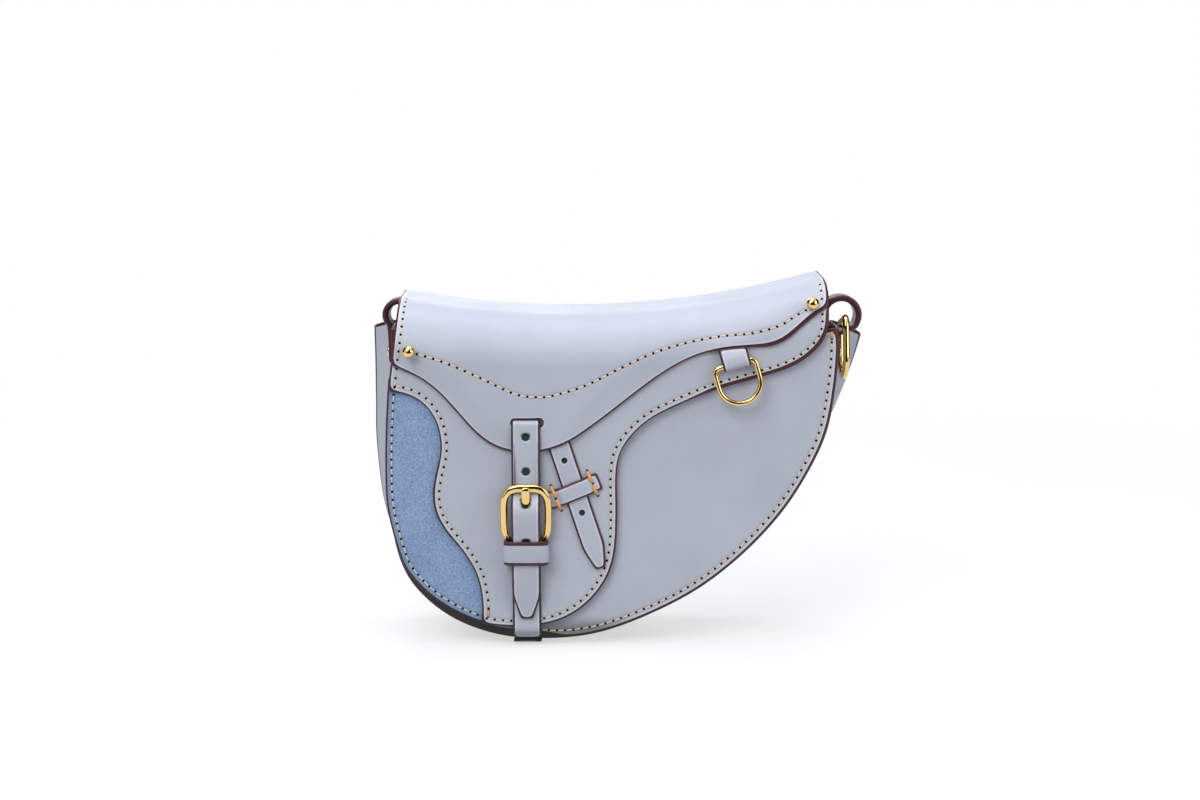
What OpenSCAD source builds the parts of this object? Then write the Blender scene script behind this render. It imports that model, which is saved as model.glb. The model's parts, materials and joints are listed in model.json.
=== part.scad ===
// Saddle handbag with a rounded flap, a shaped yoke, a suede inset and a buckled front strap.
// Lengths are in millimetres. The front of the bag faces -Y and its base stands on Z = 0.

/* [Bag] */
// Width over which the outlines are drawn
bag_w = 240; // [180:1:320]
// Height of the bag at the higher end of its top edge
bag_h = 190; // [150:1:250]
// Depth from the front panel's face to the back panel's face
depth = 58; // [44:1:80]
// Thickness of the front and back panels
panel_t = 2; // [1.2:0.1:3]
// Thickness of the gusset leather
gusset_t = 1.6; // [1:0.1:2.4]
// Width of the gusset's turned-in seam edges
seam_w = 8; // [5:0.5:10]
// How far the gusset swells outwards along the base
swell = 1.5; // [0:0.1:3]

/* [Saddle top] */
// Radius of the dip along the top edge
ridge_r = 491; // [400:1:700]
// Radius over which the flap rounds from its top into its front
shoulder_r = 27; // [20:1:32]
// How far the skirt runs back over the top behind the shoulder
skirt_lap = 1; // [0.5:0.5:6]
// Drop from the top edge to the mouth of the bag
mouth_drop = 24.7; // [22:0.1:34]

/* [Flap leather] */
// Thickness of the skirt, the flap's lower layer
skirt_t = 2; // [1.2:0.1:2.6]
// Thickness of the yoke, the flap's upper layer
yoke_t = 2; // [1.2:0.1:2.6]
// Thickness of the suede inset
suede_t = 1.4; // [0.8:0.1:2]
// Thickness of the thinned strap ends that are sewn under the yoke
tuck_t = 1.2; // [0.8:0.1:1.6]

/* [Front strap] */
// Width of the strap and of its holding piece
strap_w = 15; // [12:0.5:20]
// Thickness of the holed strap
billet_t = 1.6; // [1.2:0.1:2.2]
// Thickness of the lower strap that holds the buckle
chape_t = 1.4; // [1:0.1:1.8]
// Diameter of the strap's holes
hole_d = 3.7; // [3:0.1:5]
// Distance from hole to hole
hole_pitch = 18.4; // [16:0.1:22]

/* [Buckle] */
// Clear width inside the buckle frame
buckle_in_w = 20.4; // [18:0.1:25]
// Height of the frame from the heel bar's centre to the front bar's centre
buckle_h = 27.6; // [24:0.1:34]
// Thickness of the frame's wire
buckle_wire = 3.2; // [2.4:0.1:4]
// Diameter of the heel bar
heel_d = 2.6; // [2:0.1:3.2]
// Thickness of the prong
prong_d = 2.4; // [1.8:0.1:3]
// Width of the prong
prong_w = 3.8; // [3:0.1:4.4]
// Width of the keeper loop's leather
keeper_h = 12.4; // [9:0.1:15]
// Thickness of the keeper loop's leather
keeper_t = 1.3; // [1:0.1:1.8]

/* [Slant strap] */
// Width of the small slanting strap
slant_w = 12; // [9:0.5:15]
// Thickness of the small slanting strap
slant_t = 1.6; // [1.2:0.1:2]
// Angle of the small strap from upright
slant_turn = 18.2; // [0:0.1:30]
// Width of the band that crosses it
band_w = 9.5; // [7:0.5:12]
// Length of the band that crosses it
band_l = 31; // [26:0.5:36]
// Thickness of the band
band_t = 1.4; // [1:0.1:1.8]
// Angle of the band from level
band_turn = 22.6; // [0:0.1:30]

/* [Front ring] */
// Outer width of the front ring
ring_w = 24.6; // [20:0.1:30]
// Outer height of the front ring
ring_h = 23.6; // [18:0.1:32]
// Thickness of the front ring's wire
ring_wire = 3; // [2.4:0.1:4]
// Width of the front ring's tab
ring_tab_w = 14.5; // [10:0.5:16]
// Thickness of the tab's leather
ring_tab_t = 1.2; // [0.8:0.1:1.6]
// Angle of the front ring's bar from level
ring_turn = 16; // [0:1:25]

/* [Side rings] */
// Outer width of a side ring
side_ring_w = 24; // [22:0.5:30]
// Outer height of a side ring
side_ring_h = 34; // [30:0.5:40]
// Thickness of a side ring's wire
side_wire = 3.6; // [2.6:0.1:4]
// Slope at which the right ring rests in its loop
side_ring_slope = 14; // [0:1:18]
// Width of a side tab
tab_w = 13; // [10:0.5:15]
// Thickness of a side tab's leather
tab_t = 2.2; // [1.6:0.1:2.6]
// Thickness of a side tab's loop
loop_t = 2.9; // [2:0.1:3.4]
// Outer radius of the left tab's loop
left_loop_r = 8.8; // [8:0.1:11]
// Outer radius of the right tab's loop
right_loop_r = 10; // [8:0.1:11]
// Diameter of a rivet's cap
rivet_d = 7.5; // [5:0.5:9]

/* [Studs] */
// Diameter of a ball stud
stud_d = 6.6; // [5:0.1:8]
// Diameter of a stud's screw
screw_d = 2.6; // [2:0.1:3.2]
// Diameter of a screw's head behind the flap
screw_head_d = 7; // [6:0.5:9]

/* [Hidden] */

// Clearance between flat layers that lie on each other
lay_gap = 0.1;
// Clearance behind the flap, where it rests on the front panel
flap_gap = 0.3;
// Height of the slot in the yoke that the strap comes out of
slot_h = 3.4;
// Running clearance round a wire or bar
run_gap = 0.1;
// Overrun of every cut
over = 1;
// Steps between the chosen points of an outline
curve_steps = 4;

// The outlines are given in 240ths of the width and 190ths of the height.
width_parts = 240;
height_parts = 190;

// Distances in front of the front panel's face, from layer to layer
skirt_in = flap_gap + suede_t + lay_gap;
skirt_out = skirt_in + skirt_t;
yoke_in = skirt_out + tuck_t + 2 * lay_gap;
yoke_out = yoke_in + yoke_t;
keeper_back = skirt_out + lay_gap;
chape_back = keeper_back + keeper_t + lay_gap;
heel_off = chape_back + chape_t + run_gap + heel_d / 2;
fold_out = heel_off + heel_d / 2 + run_gap + chape_t;
billet_heel = fold_out + lay_gap + billet_t / 2;
keeper_slack = 0.5;
keeper_front = billet_heel + billet_t / 2 + keeper_slack;
stack = keeper_front + keeper_t;

// The bag's depth and its strap together are centred on Y = 0.
front_y = (stack - depth) / 2;
back_y = front_y + depth;
mid_y = (front_y + back_y) / 2;

// The strap runs under the base, so the panels start above it.
foot_gap = 0.2;
low_share = 1.1;
base_z = chape_t + foot_gap + swell - low_share * bag_h / height_parts;

// Centre of the saddle's dip, above the bag
saddle_x_share = -25;
saddle_z_share = 174.3;
saddle_x = saddle_x_share * bag_w / width_parts;
saddle_z = base_z + saddle_z_share * bag_h / height_parts + ridge_r;
saddle_span = 34;
saddle_fn = 720;
shoulder_fn = 96;
round_fn = 48;

// Outline of the front panel, from its top left round to its top right
front_shares = [[-117.8, 166], [-117.9, 148], [-119, 122], [-120, 94], [-119, 62], [-113, 38.5],
    [-101, 22.5], [-84, 10.5], [-62, 3], [-38, 1.2], [-12, 4], [14, 13.2], [42, 28], [66, 47.3],
    [86, 69.5], [100, 92], [109, 113], [112.8, 135], [114.2, 152], [114.2, 166]];
// Outline of the gusset's back seam, matched point by point
back_shares = [[-132.8, 160], [-133.4, 144], [-133.6, 122], [-133.6, 98], [-130, 64], [-121, 39.5],
    [-104, 22.5], [-84, 10.5], [-62, 3], [-38, 1.2], [-12, 4], [14, 13.2], [42, 28], [68, 47],
    [90, 70], [106, 92], [117.5, 111.5], [125.6, 131], [130.6, 145.5], [134, 157]];
// The back panel's shoulders, from the right seam up to its neck and down to the left seam
neck_right_shares = [[132.6, 159.6], [124, 161.5], [114.5, 165], [110.6, 174], [110.4, 186]];
neck_left_shares = [[-114.4, 180], [-115, 170], [-119.5, 164.2], [-125, 162.6], [-131, 162.2]];
over_top_share = 210;
// The skirt: right edge, right wing, tongue, inset cut-out and left edge
skirt_right_shares = [[110.4, 210], [110.3, 190], [109, 179], [108.4, 169.5], [105.7, 161.3],
    [98.5, 153.3], [88, 147], [75, 142.7], [60.5, 138.6], [46, 134], [32, 128], [18, 121],
    [8, 112.4], [1.3, 102.3], [-0.6, 90], [-0.4, 70], [-1.3, 51], [-4.4, 38.5], [-10.5, 28],
    [-19, 19.2], [-30, 12.7], [-44, 9.3], [-58, 8.9], [-72.5, 10.4]];
cutout_shares = [[-72.5, 10.4], [-71.8, 18], [-72.4, 27], [-75, 38], [-82, 50], [-90, 60],
    [-95.4, 69.5], [-97, 80], [-95.4, 91], [-93, 101], [-92.8, 110], [-95.4, 120], [-101, 128],
    [-108.5, 132.7], [-119.6, 135]];
flap_left_shares = [[-119.6, 135], [-117.6, 149], [-115.6, 162], [-114.5, 176], [-114.4, 190],
    [-114.4, 210]];
// The suede inset: its sewn outer edge, and the edge hidden under the skirt
suede_outer_shares = [[-119.2, 143], [-120.9, 120], [-121.8, 94], [-120.9, 71], [-114.2, 44.6],
    [-108, 34.5], [-99.6, 25.6], [-87.4, 17.2], [-73, 10.6]];
suede_inner_shares = [[-62.5, 10], [-63, 24], [-67, 40], [-75, 54], [-84, 66], [-88, 79],
    [-86.4, 92], [-84.2, 104], [-86, 120], [-94, 134], [-106, 141]];
// The yoke's lower edge, from left to right
yoke_shares = [[-122, 150.4], [-112, 146.6], [-103, 142.3], [-94, 135.6], [-85, 125.8],
    [-75, 114.3], [-66, 107.2], [-56, 103.6], [-47, 102.9], [-37, 104.4], [-24, 109.7],
    [-9.5, 119.7], [9, 134.2], [24, 145.2], [40, 153.8], [54.7, 157.6], [66, 158.4],
    [77.6, 158.6], [86, 162], [94, 169], [102, 176], [114, 184]];

// Places on the outlines, in the same parts
strap_share = -48;
slot_share = 117.4;
buckle_share = 57.4;
stud_left_share = [-107.3, 156.2];
stud_right_share = [100, 178.7];
slant_tip_share = [-9, 41];
slant_band_share = [-22.3, 84];
ring_share = [59.6, 149.6];
left_wall_share = -117.8;
right_wall_share = 114.2;
loop_share = 171.5;

// Size and place helpers
part_w = bag_w / width_parts;
part_h = bag_h / height_parts;
function at(p) = [p[0] * part_w, base_z + p[1] * part_h];
function across(share) = share * part_w;
function up(share) = base_z + share * part_h;
function spline(p, i, t) =
    let (a = p[max(i - 1, 0)], b = p[i], c = p[i + 1], d = p[min(i + 2, len(p) - 1)])
    (2 * b + (c - a) * t + (2 * a - 5 * b + 4 * c - d) * t * t
        + (3 * b - a - 3 * c + d) * t * t * t) / 2;
function curve(p) = [
    for (i = [0 : len(p) - 2]) for (k = [0 : curve_steps - 1]) spline(p, i, k / curve_steps),
    p[len(p) - 1]];
function outline(shares) = [for (p = curve(shares)) at(p)];
function turned(p) = [for (i = [len(p) - 1 : -1 : 0]) p[i]];
function side_of(p, i) =
    let (d = p[min(i + 1, len(p) - 1)] - p[max(i - 1, 0)])
    [-d[1], d[0]] / norm(d);
function ribbon(path, t) = concat(
    [for (i = [0 : len(path) - 1]) path[i] + side_of(path, i) * t / 2],
    turned([for (i = [0 : len(path) - 1]) path[i] - side_of(path, i) * t / 2]));

// A flat layer whose back lies a given distance in front of the front panel's face
module layer(off, t) {
    translate([0, front_y - off, 0]) rotate([90, 0, 0]) linear_extrude(t) children();
}

// A band of leather that runs along a path of (distance forward, height) points
module band(path, t, w) {
    shape = ribbon([for (p = path) [front_y - p[0], p[1]]], t);
    translate([-w / 2, 0, 0]) rotate([90, 0, 90]) linear_extrude(w) polygon(shape);
}

// The space above the arc at a radius from the saddle's centre
module saddle_disc(r) {
    translate([saddle_x, saddle_z]) circle(r, $fn = saddle_fn);
}

// One layer of the flap: a flat front, a round shoulder and a top that dips like a saddle.
// Its top runs back to end_y.
turn_y = front_y - yoke_out + shoulder_r;
module saddle_shell(off_in, off_out, end_y) {
    t = off_out - off_in;
    top_out = ridge_r + yoke_out - off_out;
    arc_r = shoulder_r - (yoke_out - off_out);
    turn_r = ridge_r + shoulder_r;
    drop = saddle_z;
    translate([saddle_x, 0, saddle_z]) rotate([-90, 0, 0])
        rotate_extrude(angle = saddle_span, start = 90 - saddle_span / 2, $fn = saddle_fn) {
            translate([top_out, turn_y]) square([t, end_y - turn_y]);
            translate([turn_r, front_y - off_out]) square([drop - turn_r, t]);
            intersection() {
                translate([turn_r, turn_y]) difference() {
                    circle(arc_r, $fn = shoulder_fn);
                    circle(arc_r - t, $fn = shoulder_fn);
                }
                translate([top_out - over, front_y - off_out - over])
                    square([turn_r - top_out + over, turn_y - front_y + off_out + over]);
            }
        }
}

// A flap layer cut to a shape seen from the front
module flap_layer(off_in, off_out, end_y) {
    intersection() {
        saddle_shell(off_in, off_out, end_y);
        through() children();
    }
}
// A shape seen from the front, run right through the bag
module through() {
    translate([0, back_y + over, 0]) rotate([90, 0, 0])
        linear_extrude(depth + stack + 2 * over) children();
}
module flap_shape() {
    polygon(concat(outline(skirt_right_shares), outline(cutout_shares), outline(flap_left_shares)));
}
// All that lies above the yoke's lower edge
module yoke_shape() {
    polygon(concat(outline(yoke_shares), [at([width_parts / 2, over_top_share]),
        at([-width_parts / 2, over_top_share])]));
}

// A closed wire loop in the XZ plane, hanging from the centre of its upper bar
module wire_loop(w, h, wire, top_r, low_r, bar) {
    half = (w - wire) / 2;
    low = -(h - wire);
    translate([-(half - top_r), 0, 0]) rotate([0, 90, 0])
        cylinder(h = 2 * (half - top_r), d = bar, $fn = round_fn);
    if (low_r < half)
        translate([-(half - low_r), 0, low]) rotate([0, 90, 0])
            cylinder(h = 2 * (half - low_r), d = wire, $fn = round_fn);
    for (s = [-1, 1]) {
        translate([s * half, 0, low + low_r])
            cylinder(h = -low - low_r - top_r, d = wire, $fn = round_fn);
        translate([s * (half - top_r), 0, -top_r]) rotate([90, 0, 0])
            rotate_extrude(angle = 90, start = s > 0 ? 0 : 90, $fn = round_fn)
                translate([top_r, 0]) circle(d = wire, $fn = round_fn);
        translate([s * (half - low_r), 0, low + low_r]) rotate([90, 0, 0])
            rotate_extrude(angle = 90, start = s > 0 ? 270 : 180, $fn = round_fn)
                translate([low_r, 0]) circle(d = wire, $fn = round_fn);
    }
}

// Body of the bag

module front_panel() color("lightsteelblue") {
    layer(-panel_t, panel_t) difference() {
        polygon(concat([at([front_shares[0][0], over_top_share])], outline(front_shares),
            [at([front_shares[len(front_shares) - 1][0], over_top_share])]));
        saddle_disc(ridge_r + mouth_drop);
    }
}

module back_panel() color("lightsteelblue") {
    top = [at([neck_right_shares[len(neck_right_shares) - 1][0], over_top_share]),
           at([neck_left_shares[0][0], over_top_share])];
    layer(-depth, panel_t) difference() {
        polygon(concat(outline(back_shares), outline(neck_right_shares), top,
            outline(neck_left_shares)));
        saddle_disc(ridge_r + yoke_t + flap_gap);
    }
}

// Height of the rivets that fasten the side tabs
rivet_share = 152;
// Depth stations of the gusset from its front seam, at -1, to its back seam, at 1
gusset_v = [-1, -0.8, -0.5, -0.2, 0.1, 0.35, 0.5, 0.65, 0.8, 0.92, 1];
flare_start = 0.4;
function flare(v) = let (q = max(0, (v - flare_start) / (1 - flare_start))) q * q * (3 - 2 * q);
function gusset_point(f, b, n, v, inset) =
    let (p = f + (b - f) * flare(v) + n * (swell * (1 - v * v) - inset))
    let (half = depth / 2 - panel_t - inset)
    [p[0], mid_y + v * half, p[1]];
function seam_point(e, n, y, inset) =
    let (p = e - n * inset) [p[0], y, p[1]];

module gusset() color("lightsteelblue") {
    fronts = outline(front_shares);
    backs = outline(back_shares);
    seam_front = front_y + panel_t;
    seam_back = back_y - panel_t;
    rings = [for (i = [0 : len(fronts) - 1])
        let (f = fronts[i], b = backs[i], n = -side_of(fronts, i), m = -side_of(backs, i))
        concat(
            [seam_point(f, n, seam_front, seam_w)],
            [for (v = gusset_v) gusset_point(f, b, n, v, 0)],
            [seam_point(b, m, seam_back, seam_w), seam_point(b, m, seam_back - gusset_t, seam_w)],
            [for (v = turned(gusset_v)) gusset_point(f, b, n, v, gusset_t)],
            [seam_point(f, n, seam_front + gusset_t, seam_w)])];
    count = len(rings[0]);
    last = len(rings) - 1;
    half = count / 2;
    sides = [for (i = [0 : last - 1]) for (j = [0 : count - 1])
        let (k = (j + 1) % count, a = i * count, b = (i + 1) * count)
        each [[a + j, b + j, a + k], [b + j, b + k, a + k]]];
    first_cap = [for (j = [0 : half - 2])
        each [[j, j + 1, count - 1 - j], [j + 1, count - 2 - j, count - 1 - j]]];
    last_cap = [for (f = first_cap) [f[0], f[2], f[1]] + [1, 1, 1] * last * count];
    difference() {
        polyhedron(points = [for (r = rings) each r], faces = concat(sides, first_cap, last_cap));
        translate([0, mid_y, up(rivet_share)]) rotate([0, 90, 0])
            cylinder(h = 2 * bag_w, d = screw_d, center = true, $fn = round_fn);
    }
}

// Side of a tab seen along the bag's depth: two legs astride the gusset and a loop above them
leg_low_share = 146;
rim_share = 166;
wall_fit = 0.45;
function wall_in(x_share, s) = across(x_share) + s * (swell - gusset_t - wall_fit);
function wall_out(x_share, s) = across(x_share) + s * (swell + wall_fit);

module side_tab(x_share, s, loop_r, lean) {
    inner = wall_in(x_share, s);
    outer = wall_out(x_share, s);
    low = up(leg_low_share);
    mid = up(loop_share);
    loop_x = across(x_share) + lean;
    difference() {
        translate([0, mid_y + tab_w / 2, 0]) rotate([90, 0, 0]) linear_extrude(tab_w)
            difference() {
                union() {
                    translate([loop_x, mid]) circle(loop_r, $fn = round_fn);
                    translate([min(inner, inner - s * tab_t), low])
                        square([tab_t, mid - low]);
                    translate([min(outer, outer + s * tab_t), low])
                        square([tab_t, mid - low]);
                }
                translate([loop_x, mid]) circle(loop_r - loop_t, $fn = round_fn);
                translate([min(inner, outer), low - over])
                    square([abs(outer - inner), up(rim_share) + wall_fit - low + over]);
            }
        translate([across(x_share), mid_y, up(rivet_share)]) rotate([0, 90, 0])
            cylinder(h = 4 * tab_t + 2 * over, d = screw_d, center = true, $fn = round_fn);
    }
}

left_lean = 0.6;
right_lean = 4.3;
module side_tab_left() color("maroon") side_tab(left_wall_share, -1, left_loop_r, left_lean);
module side_tab_right() color("maroon") side_tab(right_wall_share, 1, right_loop_r, right_lean);

cap_h = 1.2;
module side_rivet(x_share, s) {
    inner = wall_in(x_share, s) - s * (tab_t + lay_gap);
    outer = wall_out(x_share, s) + s * (tab_t + lay_gap);
    low = min(inner, outer);
    high = max(inner, outer);
    translate([0, mid_y, up(rivet_share)]) rotate([0, 90, 0]) {
        translate([0, 0, low]) cylinder(h = high - low, d = screw_d - 2 * run_gap, $fn = round_fn);
        for (end = [low - cap_h, high])
            translate([0, 0, end]) cylinder(h = cap_h, d = rivet_d, $fn = round_fn);
    }
}
module side_rivet_left() color("gold") side_rivet(left_wall_share, -1);
module side_rivet_right() color("gold") side_rivet(right_wall_share, 1);

// A side ring turned so that its bar lies along the bag's depth
module side_ring(x, z, slope) {
    translate([x, mid_y, z]) rotate([slope, 0, 0]) rotate([0, 0, 90])
        wire_loop(side_ring_w, side_ring_h, side_wire, side_corner_r, side_low_r, side_wire);
}
side_corner_r = 5;
side_low_r = side_ring_w / 2 - side_wire / 2;
bar_lift = 1.3;
left_bar_x = wall_in(left_wall_share, -1) + side_wire / 2 + flap_gap;
left_bar_z = up(loop_share) - left_loop_r + loop_t + side_wire / 2 + bar_lift;
right_bar_x = wall_out(right_wall_share, 1) + tab_t + side_wire / 2 + lay_gap;
right_bar_z = up(loop_share) - right_loop_r + loop_t + side_wire / 2
    + tan(side_ring_slope) * tab_w / 2 + bar_lift;
module side_ring_left() color("gold") side_ring(left_bar_x, left_bar_z, 0);
module side_ring_right() color("gold") side_ring(right_bar_x, right_bar_z, -side_ring_slope);

// Flap

module studs_cut() {
    for (p = [stud_left_share, stud_right_share])
        on_flap(p) cylinder(h = 2 * stud_reach, d = screw_d, center = true, $fn = round_fn);
}

// Moves to a point of the yoke's face, with +Z pointing outwards from it
function dip_r(p) = norm([across(p[0]) - saddle_x, up(p[1]) - saddle_z]);
function shoulder_angle(p) = asin(min(1, max(0, (ridge_r + shoulder_r - dip_r(p)) / shoulder_r)));
stud_reach = 12;
module on_flap(p) {
    a = shoulder_angle(p);
    r = dip_r(p);
    swing = atan2(across(p[0]) - saddle_x, saddle_z - up(p[1]));
    translate([saddle_x, 0, saddle_z]) rotate([0, -swing, 0])
        translate([0, front_y - yoke_out + shoulder_r * (1 - cos(a)), -r]) rotate([90 - a, 0, 0])
            children();
}

module flap_skirt() color("lightsteelblue") difference() {
    flap_layer(skirt_in, skirt_out, turn_y + skirt_lap) flap_shape();
    studs_cut();
}

module suede_panel() color("cornflowerblue") {
    layer(flap_gap, suede_t)
        polygon(concat(outline(suede_outer_shares), outline(suede_inner_shares)));
}

slot_w = 17;
module yoke() color("lightsteelblue") difference() {
    intersection() {
        flap_layer(yoke_in, yoke_out, back_y) flap_shape();
        through() yoke_shape();
    }
    studs_cut();
    layer(yoke_in - over, yoke_t + 2 * over)
        translate([across(strap_share) - slot_w / 2, up(slot_share)]) square([slot_w, slot_h]);
}

neck_d = 4;
neck_h = 0.5;
module stud(p) {
    on_flap(p) {
        translate([0, 0, lay_gap]) cylinder(h = stud_d / 4, d = neck_d, $fn = round_fn);
        translate([0, 0, stud_d / 2 + neck_h]) sphere(d = stud_d, $fn = round_fn);
    }
}
module stud_left() color("gold") stud(stud_left_share);
module stud_right() color("gold") stud(stud_right_share);

module stud_screw(p) {
    // The head's flat face stands off the rounded leather behind it
    behind = yoke_out - skirt_in + lay_gap + screw_head_d * screw_head_d / (8 * shoulder_r);
    on_flap(p) translate([0, 0, -behind]) {
        cylinder(h = behind, d = screw_d - 2 * run_gap, $fn = round_fn);
        translate([0, 0, -cap_h]) cylinder(h = cap_h, d = screw_head_d, $fn = round_fn);
    }
}
module stud_screw_left() color("gold") stud_screw(stud_left_share);
module stud_screw_right() color("gold") stud_screw(stud_right_share);

// Places in front of the buckle, as distances forward of the front panel's face
bar_slack = 0.8;
bar_dip = 0.6;
billet_low = yoke_out + lay_gap + billet_t / 2;
front_bar_off = billet_low - bar_dip + billet_t / 2 + bar_slack + buckle_wire / 2;
prong_rest = front_bar_off + buckle_wire / 2 + lay_gap + prong_d / 2;
heel_z = up(buckle_share);
frame_lean = atan((front_bar_off - heel_off) / buckle_h);
// Root and tip of the prong's shank, forward of and above the heel bar
barrel_wall = 1.4;
barrel_w = 4.2;
barrel_bore = heel_d + 2 * run_gap;
prong_past = 0.2;
prong_root = [(barrel_bore - prong_d) / 2 + barrel_wall, prong_d / 2];
prong_lean = atan2(prong_rest - heel_off - prong_root[0], buckle_h - prong_root[1]);
prong_l = (buckle_h + prong_past - prong_root[1]) / cos(prong_lean);
function prong_off(z) = heel_off + prong_root[0] + (z - heel_z - prong_root[1]) * tan(prong_lean);

// The lower strap: its short end behind, round the heel bar, and down over the flap's edge.
// The first number is the distance forward in parts of the way from the flap to the fold.
fold_r = heel_d / 2 + run_gap + chape_t / 2;
chape_low = skirt_out + lay_gap + chape_t / 2;
chape_rise = heel_off + fold_r - chape_low;
chape_shares = [[0.98, 54], [0.87, 50], [0.77, 45], [0.63, 38], [0.51, 33], [0.37, 28],
    [0.16, 22], [0.02, 16], [0, 12], [0, 8.7]];
split_share = 1.9;
edge_share = 7;
chape_flat = chape_t / 2 + lay_gap;
chape_path = concat(
    [for (p = curve(chape_shares)) [chape_low + p[0] * chape_rise, up(p[1])]],
    [[chape_low - chape_t / 3, up(edge_share)], [chape_flat + chape_t, up(edge_share) - chape_t],
     [chape_flat, up(edge_share) - 3 * chape_t], [chape_flat, up(split_share)]]);

// Path of the holed strap, from the slot in the yoke over the prong and down to its tip
billet_over = chape_t / 2 + billet_t / 2 + 2.5 * lay_gap;
slot_r = billet_t * 0.65;
slot_turns = 5;
pass_z = up(slot_share) + slot_h * 0.55;
hole_share = 75;
crest_share = 70.4;
fall_share = 66;
lift_share = 85;
behind_shares = [108, 103.5, 97, 91];
behind_parts = [0, 0.1, 0.8, 1];
tip_share = 14.2;
tip_clear = 4;
crest_off = prong_off(up(crest_share)) + prong_d / 2 + billet_t / 2 + 5 * lay_gap;
billet_knots = concat(
    [for (i = [0 : 3]) [billet_low - behind_parts[i] * bar_dip, up(behind_shares[i])]],
    [[billet_low - bar_dip, up(lift_share)],
     [(billet_low - bar_dip + prong_off(up(hole_share))) / 2, up((lift_share + hole_share) / 2)],
     [prong_off(up(hole_share)), up(hole_share)],
     [crest_off, up(crest_share)],
     [crest_off - 3 * lay_gap, up(fall_share)],
     [billet_heel + 8 * lay_gap, up(buckle_share + 4)],
     [billet_heel + 3 * lay_gap, up(buckle_share)]],
    [for (p = chape_shares) if (p[1] > tip_share + tip_clear)
        [chape_low + p[0] * chape_rise + billet_over, up(p[1])]],
    [[chape_low + billet_over, up(tip_share)]]);
tip_taper = 20;
tip_w = 5.6;
billet_path = concat(
    [[skirt_out + lay_gap + tuck_t / 2, pass_z]],
    [for (i = [0 : slot_turns]) let (a = 90 * i / slot_turns)
        [billet_low - slot_r + slot_r * sin(a), pass_z - slot_r + slot_r * cos(a)]],
    curve(billet_knots));
module billet_strap() color("lightsteelblue") difference() {
    x = across(strap_share);
    union() {
        translate([x, 0, 0]) band(billet_path, billet_t, strap_w);
        layer(skirt_out + lay_gap, tuck_t) translate([x - strap_w / 2, pass_z])
            square([strap_w, strap_w / 2]);
    }
    for (i = [-1, 1, 2]) translate([x, front_y, up(hole_share) + i * hole_pitch])
        rotate([90, 0, 0]) cylinder(h = 2 * stack, d = hole_d, center = true, $fn = round_fn);
    translate([x, front_y, up(hole_share)]) prong_slot();
    for (s = [-1, 1]) translate([x, 0, up(tip_share)]) tip_cut(s, strap_w, tip_w, tip_taper);
}
// The hole that the prong goes through, drawn long by the strap's slope
slot_wide = prong_w + 0.8;
module prong_slot() {
    reach = hole_d * 0.7;
    translate([-slot_wide / 2, -2 * stack, -reach]) cube([slot_wide, 2 * stack, 2 * reach]);
    for (s = [-1, 1]) translate([0, 0, s * reach]) rotate([90, 0, 0])
        cylinder(h = 2 * stack, d = slot_wide, $fn = round_fn);
}
// Cuts one flank of a strap's pointed end
module tip_cut(s, w, end_w, taper) {
    translate([0, front_y + over, 0]) rotate([90, 0, 0]) linear_extrude(2 * stack)
        polygon([[s * end_w * 0.36, -over], [s * w, -over], [s * w, taper], [s * w / 2, taper],
            [s * w * 0.43, taper * 0.6], [s * w * 0.31, taper * 0.25],
            [s * end_w / 2, taper * 0.07], [s * end_w * 0.36, 0]]);
}

chape_end_share = 33;
fold_steps = 8;
prong_room = 5;
module lower_strap() color("lightsteelblue") difference() {
    translate([across(strap_share), 0, 0]) band(concat(
        [[heel_off - fold_r, up(chape_end_share)]],
        [for (i = [0 : fold_steps]) let (a = 180 - 180 * i / fold_steps)
            [heel_off + fold_r * cos(a), heel_z + fold_r * sin(a)]],
        chape_path), chape_t, strap_w);
    translate([across(strap_share) - prong_room / 2, front_y - stack, heel_z - prong_room * 0.7])
        cube([prong_room, stack, prong_room * 2]);
}

foot_end = 8;
module strap_foot() color("lightsteelblue") {
    face = chape_flat;
    sole = chape_t / 2;
    start = up(split_share) - flap_gap;
    room = start - sole;
    translate([across(strap_share), 0, 0])
        band([[face, start], [face - room * 0.15, start - room * 0.6],
              [face - room * 0.7, sole + room * 0.08], [face - room * 1.5, sole],
              [foot_end - depth, sole]],
            chape_t, strap_w);
}

keeper_w = 24;
keeper_power = 8;
keeper_points = 64;
function squarish(a, b, n) = [for (i = [0 : keeper_points - 1])
    let (t = 360 * i / keeper_points, c = cos(t), s = sin(t))
    [sign(c) * a * pow(abs(c), 2 / n), sign(s) * b * pow(abs(s), 2 / n)]];
keeper_drop = 0.7;
keeper_top = heel_z - keeper_drop;
module keeper_loop() color("lightsteelblue") {
    mid_off = (keeper_back + stack) / 2;
    b = (stack - keeper_back) / 2;
    translate([across(strap_share), front_y - mid_off, keeper_top - keeper_h])
        linear_extrude(keeper_h) difference() {
            polygon(squarish(keeper_w / 2, b, keeper_power));
            polygon(squarish(keeper_w / 2 - keeper_t, b - keeper_t, keeper_power));
        }
}

heel_corner_r = 4;
front_corner_r = 7.5;
module at_heel() {
    translate([across(strap_share), front_y - heel_off, heel_z]) rotate([frame_lean, 0, 0]) children();
}
module buckle_frame() color("gold") at_heel() rotate([0, 180, 0])
    wire_loop(buckle_in_w + 2 * buckle_wire, buckle_h / cos(frame_lean) + buckle_wire, buckle_wire,
        heel_corner_r, front_corner_r, heel_d);

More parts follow.
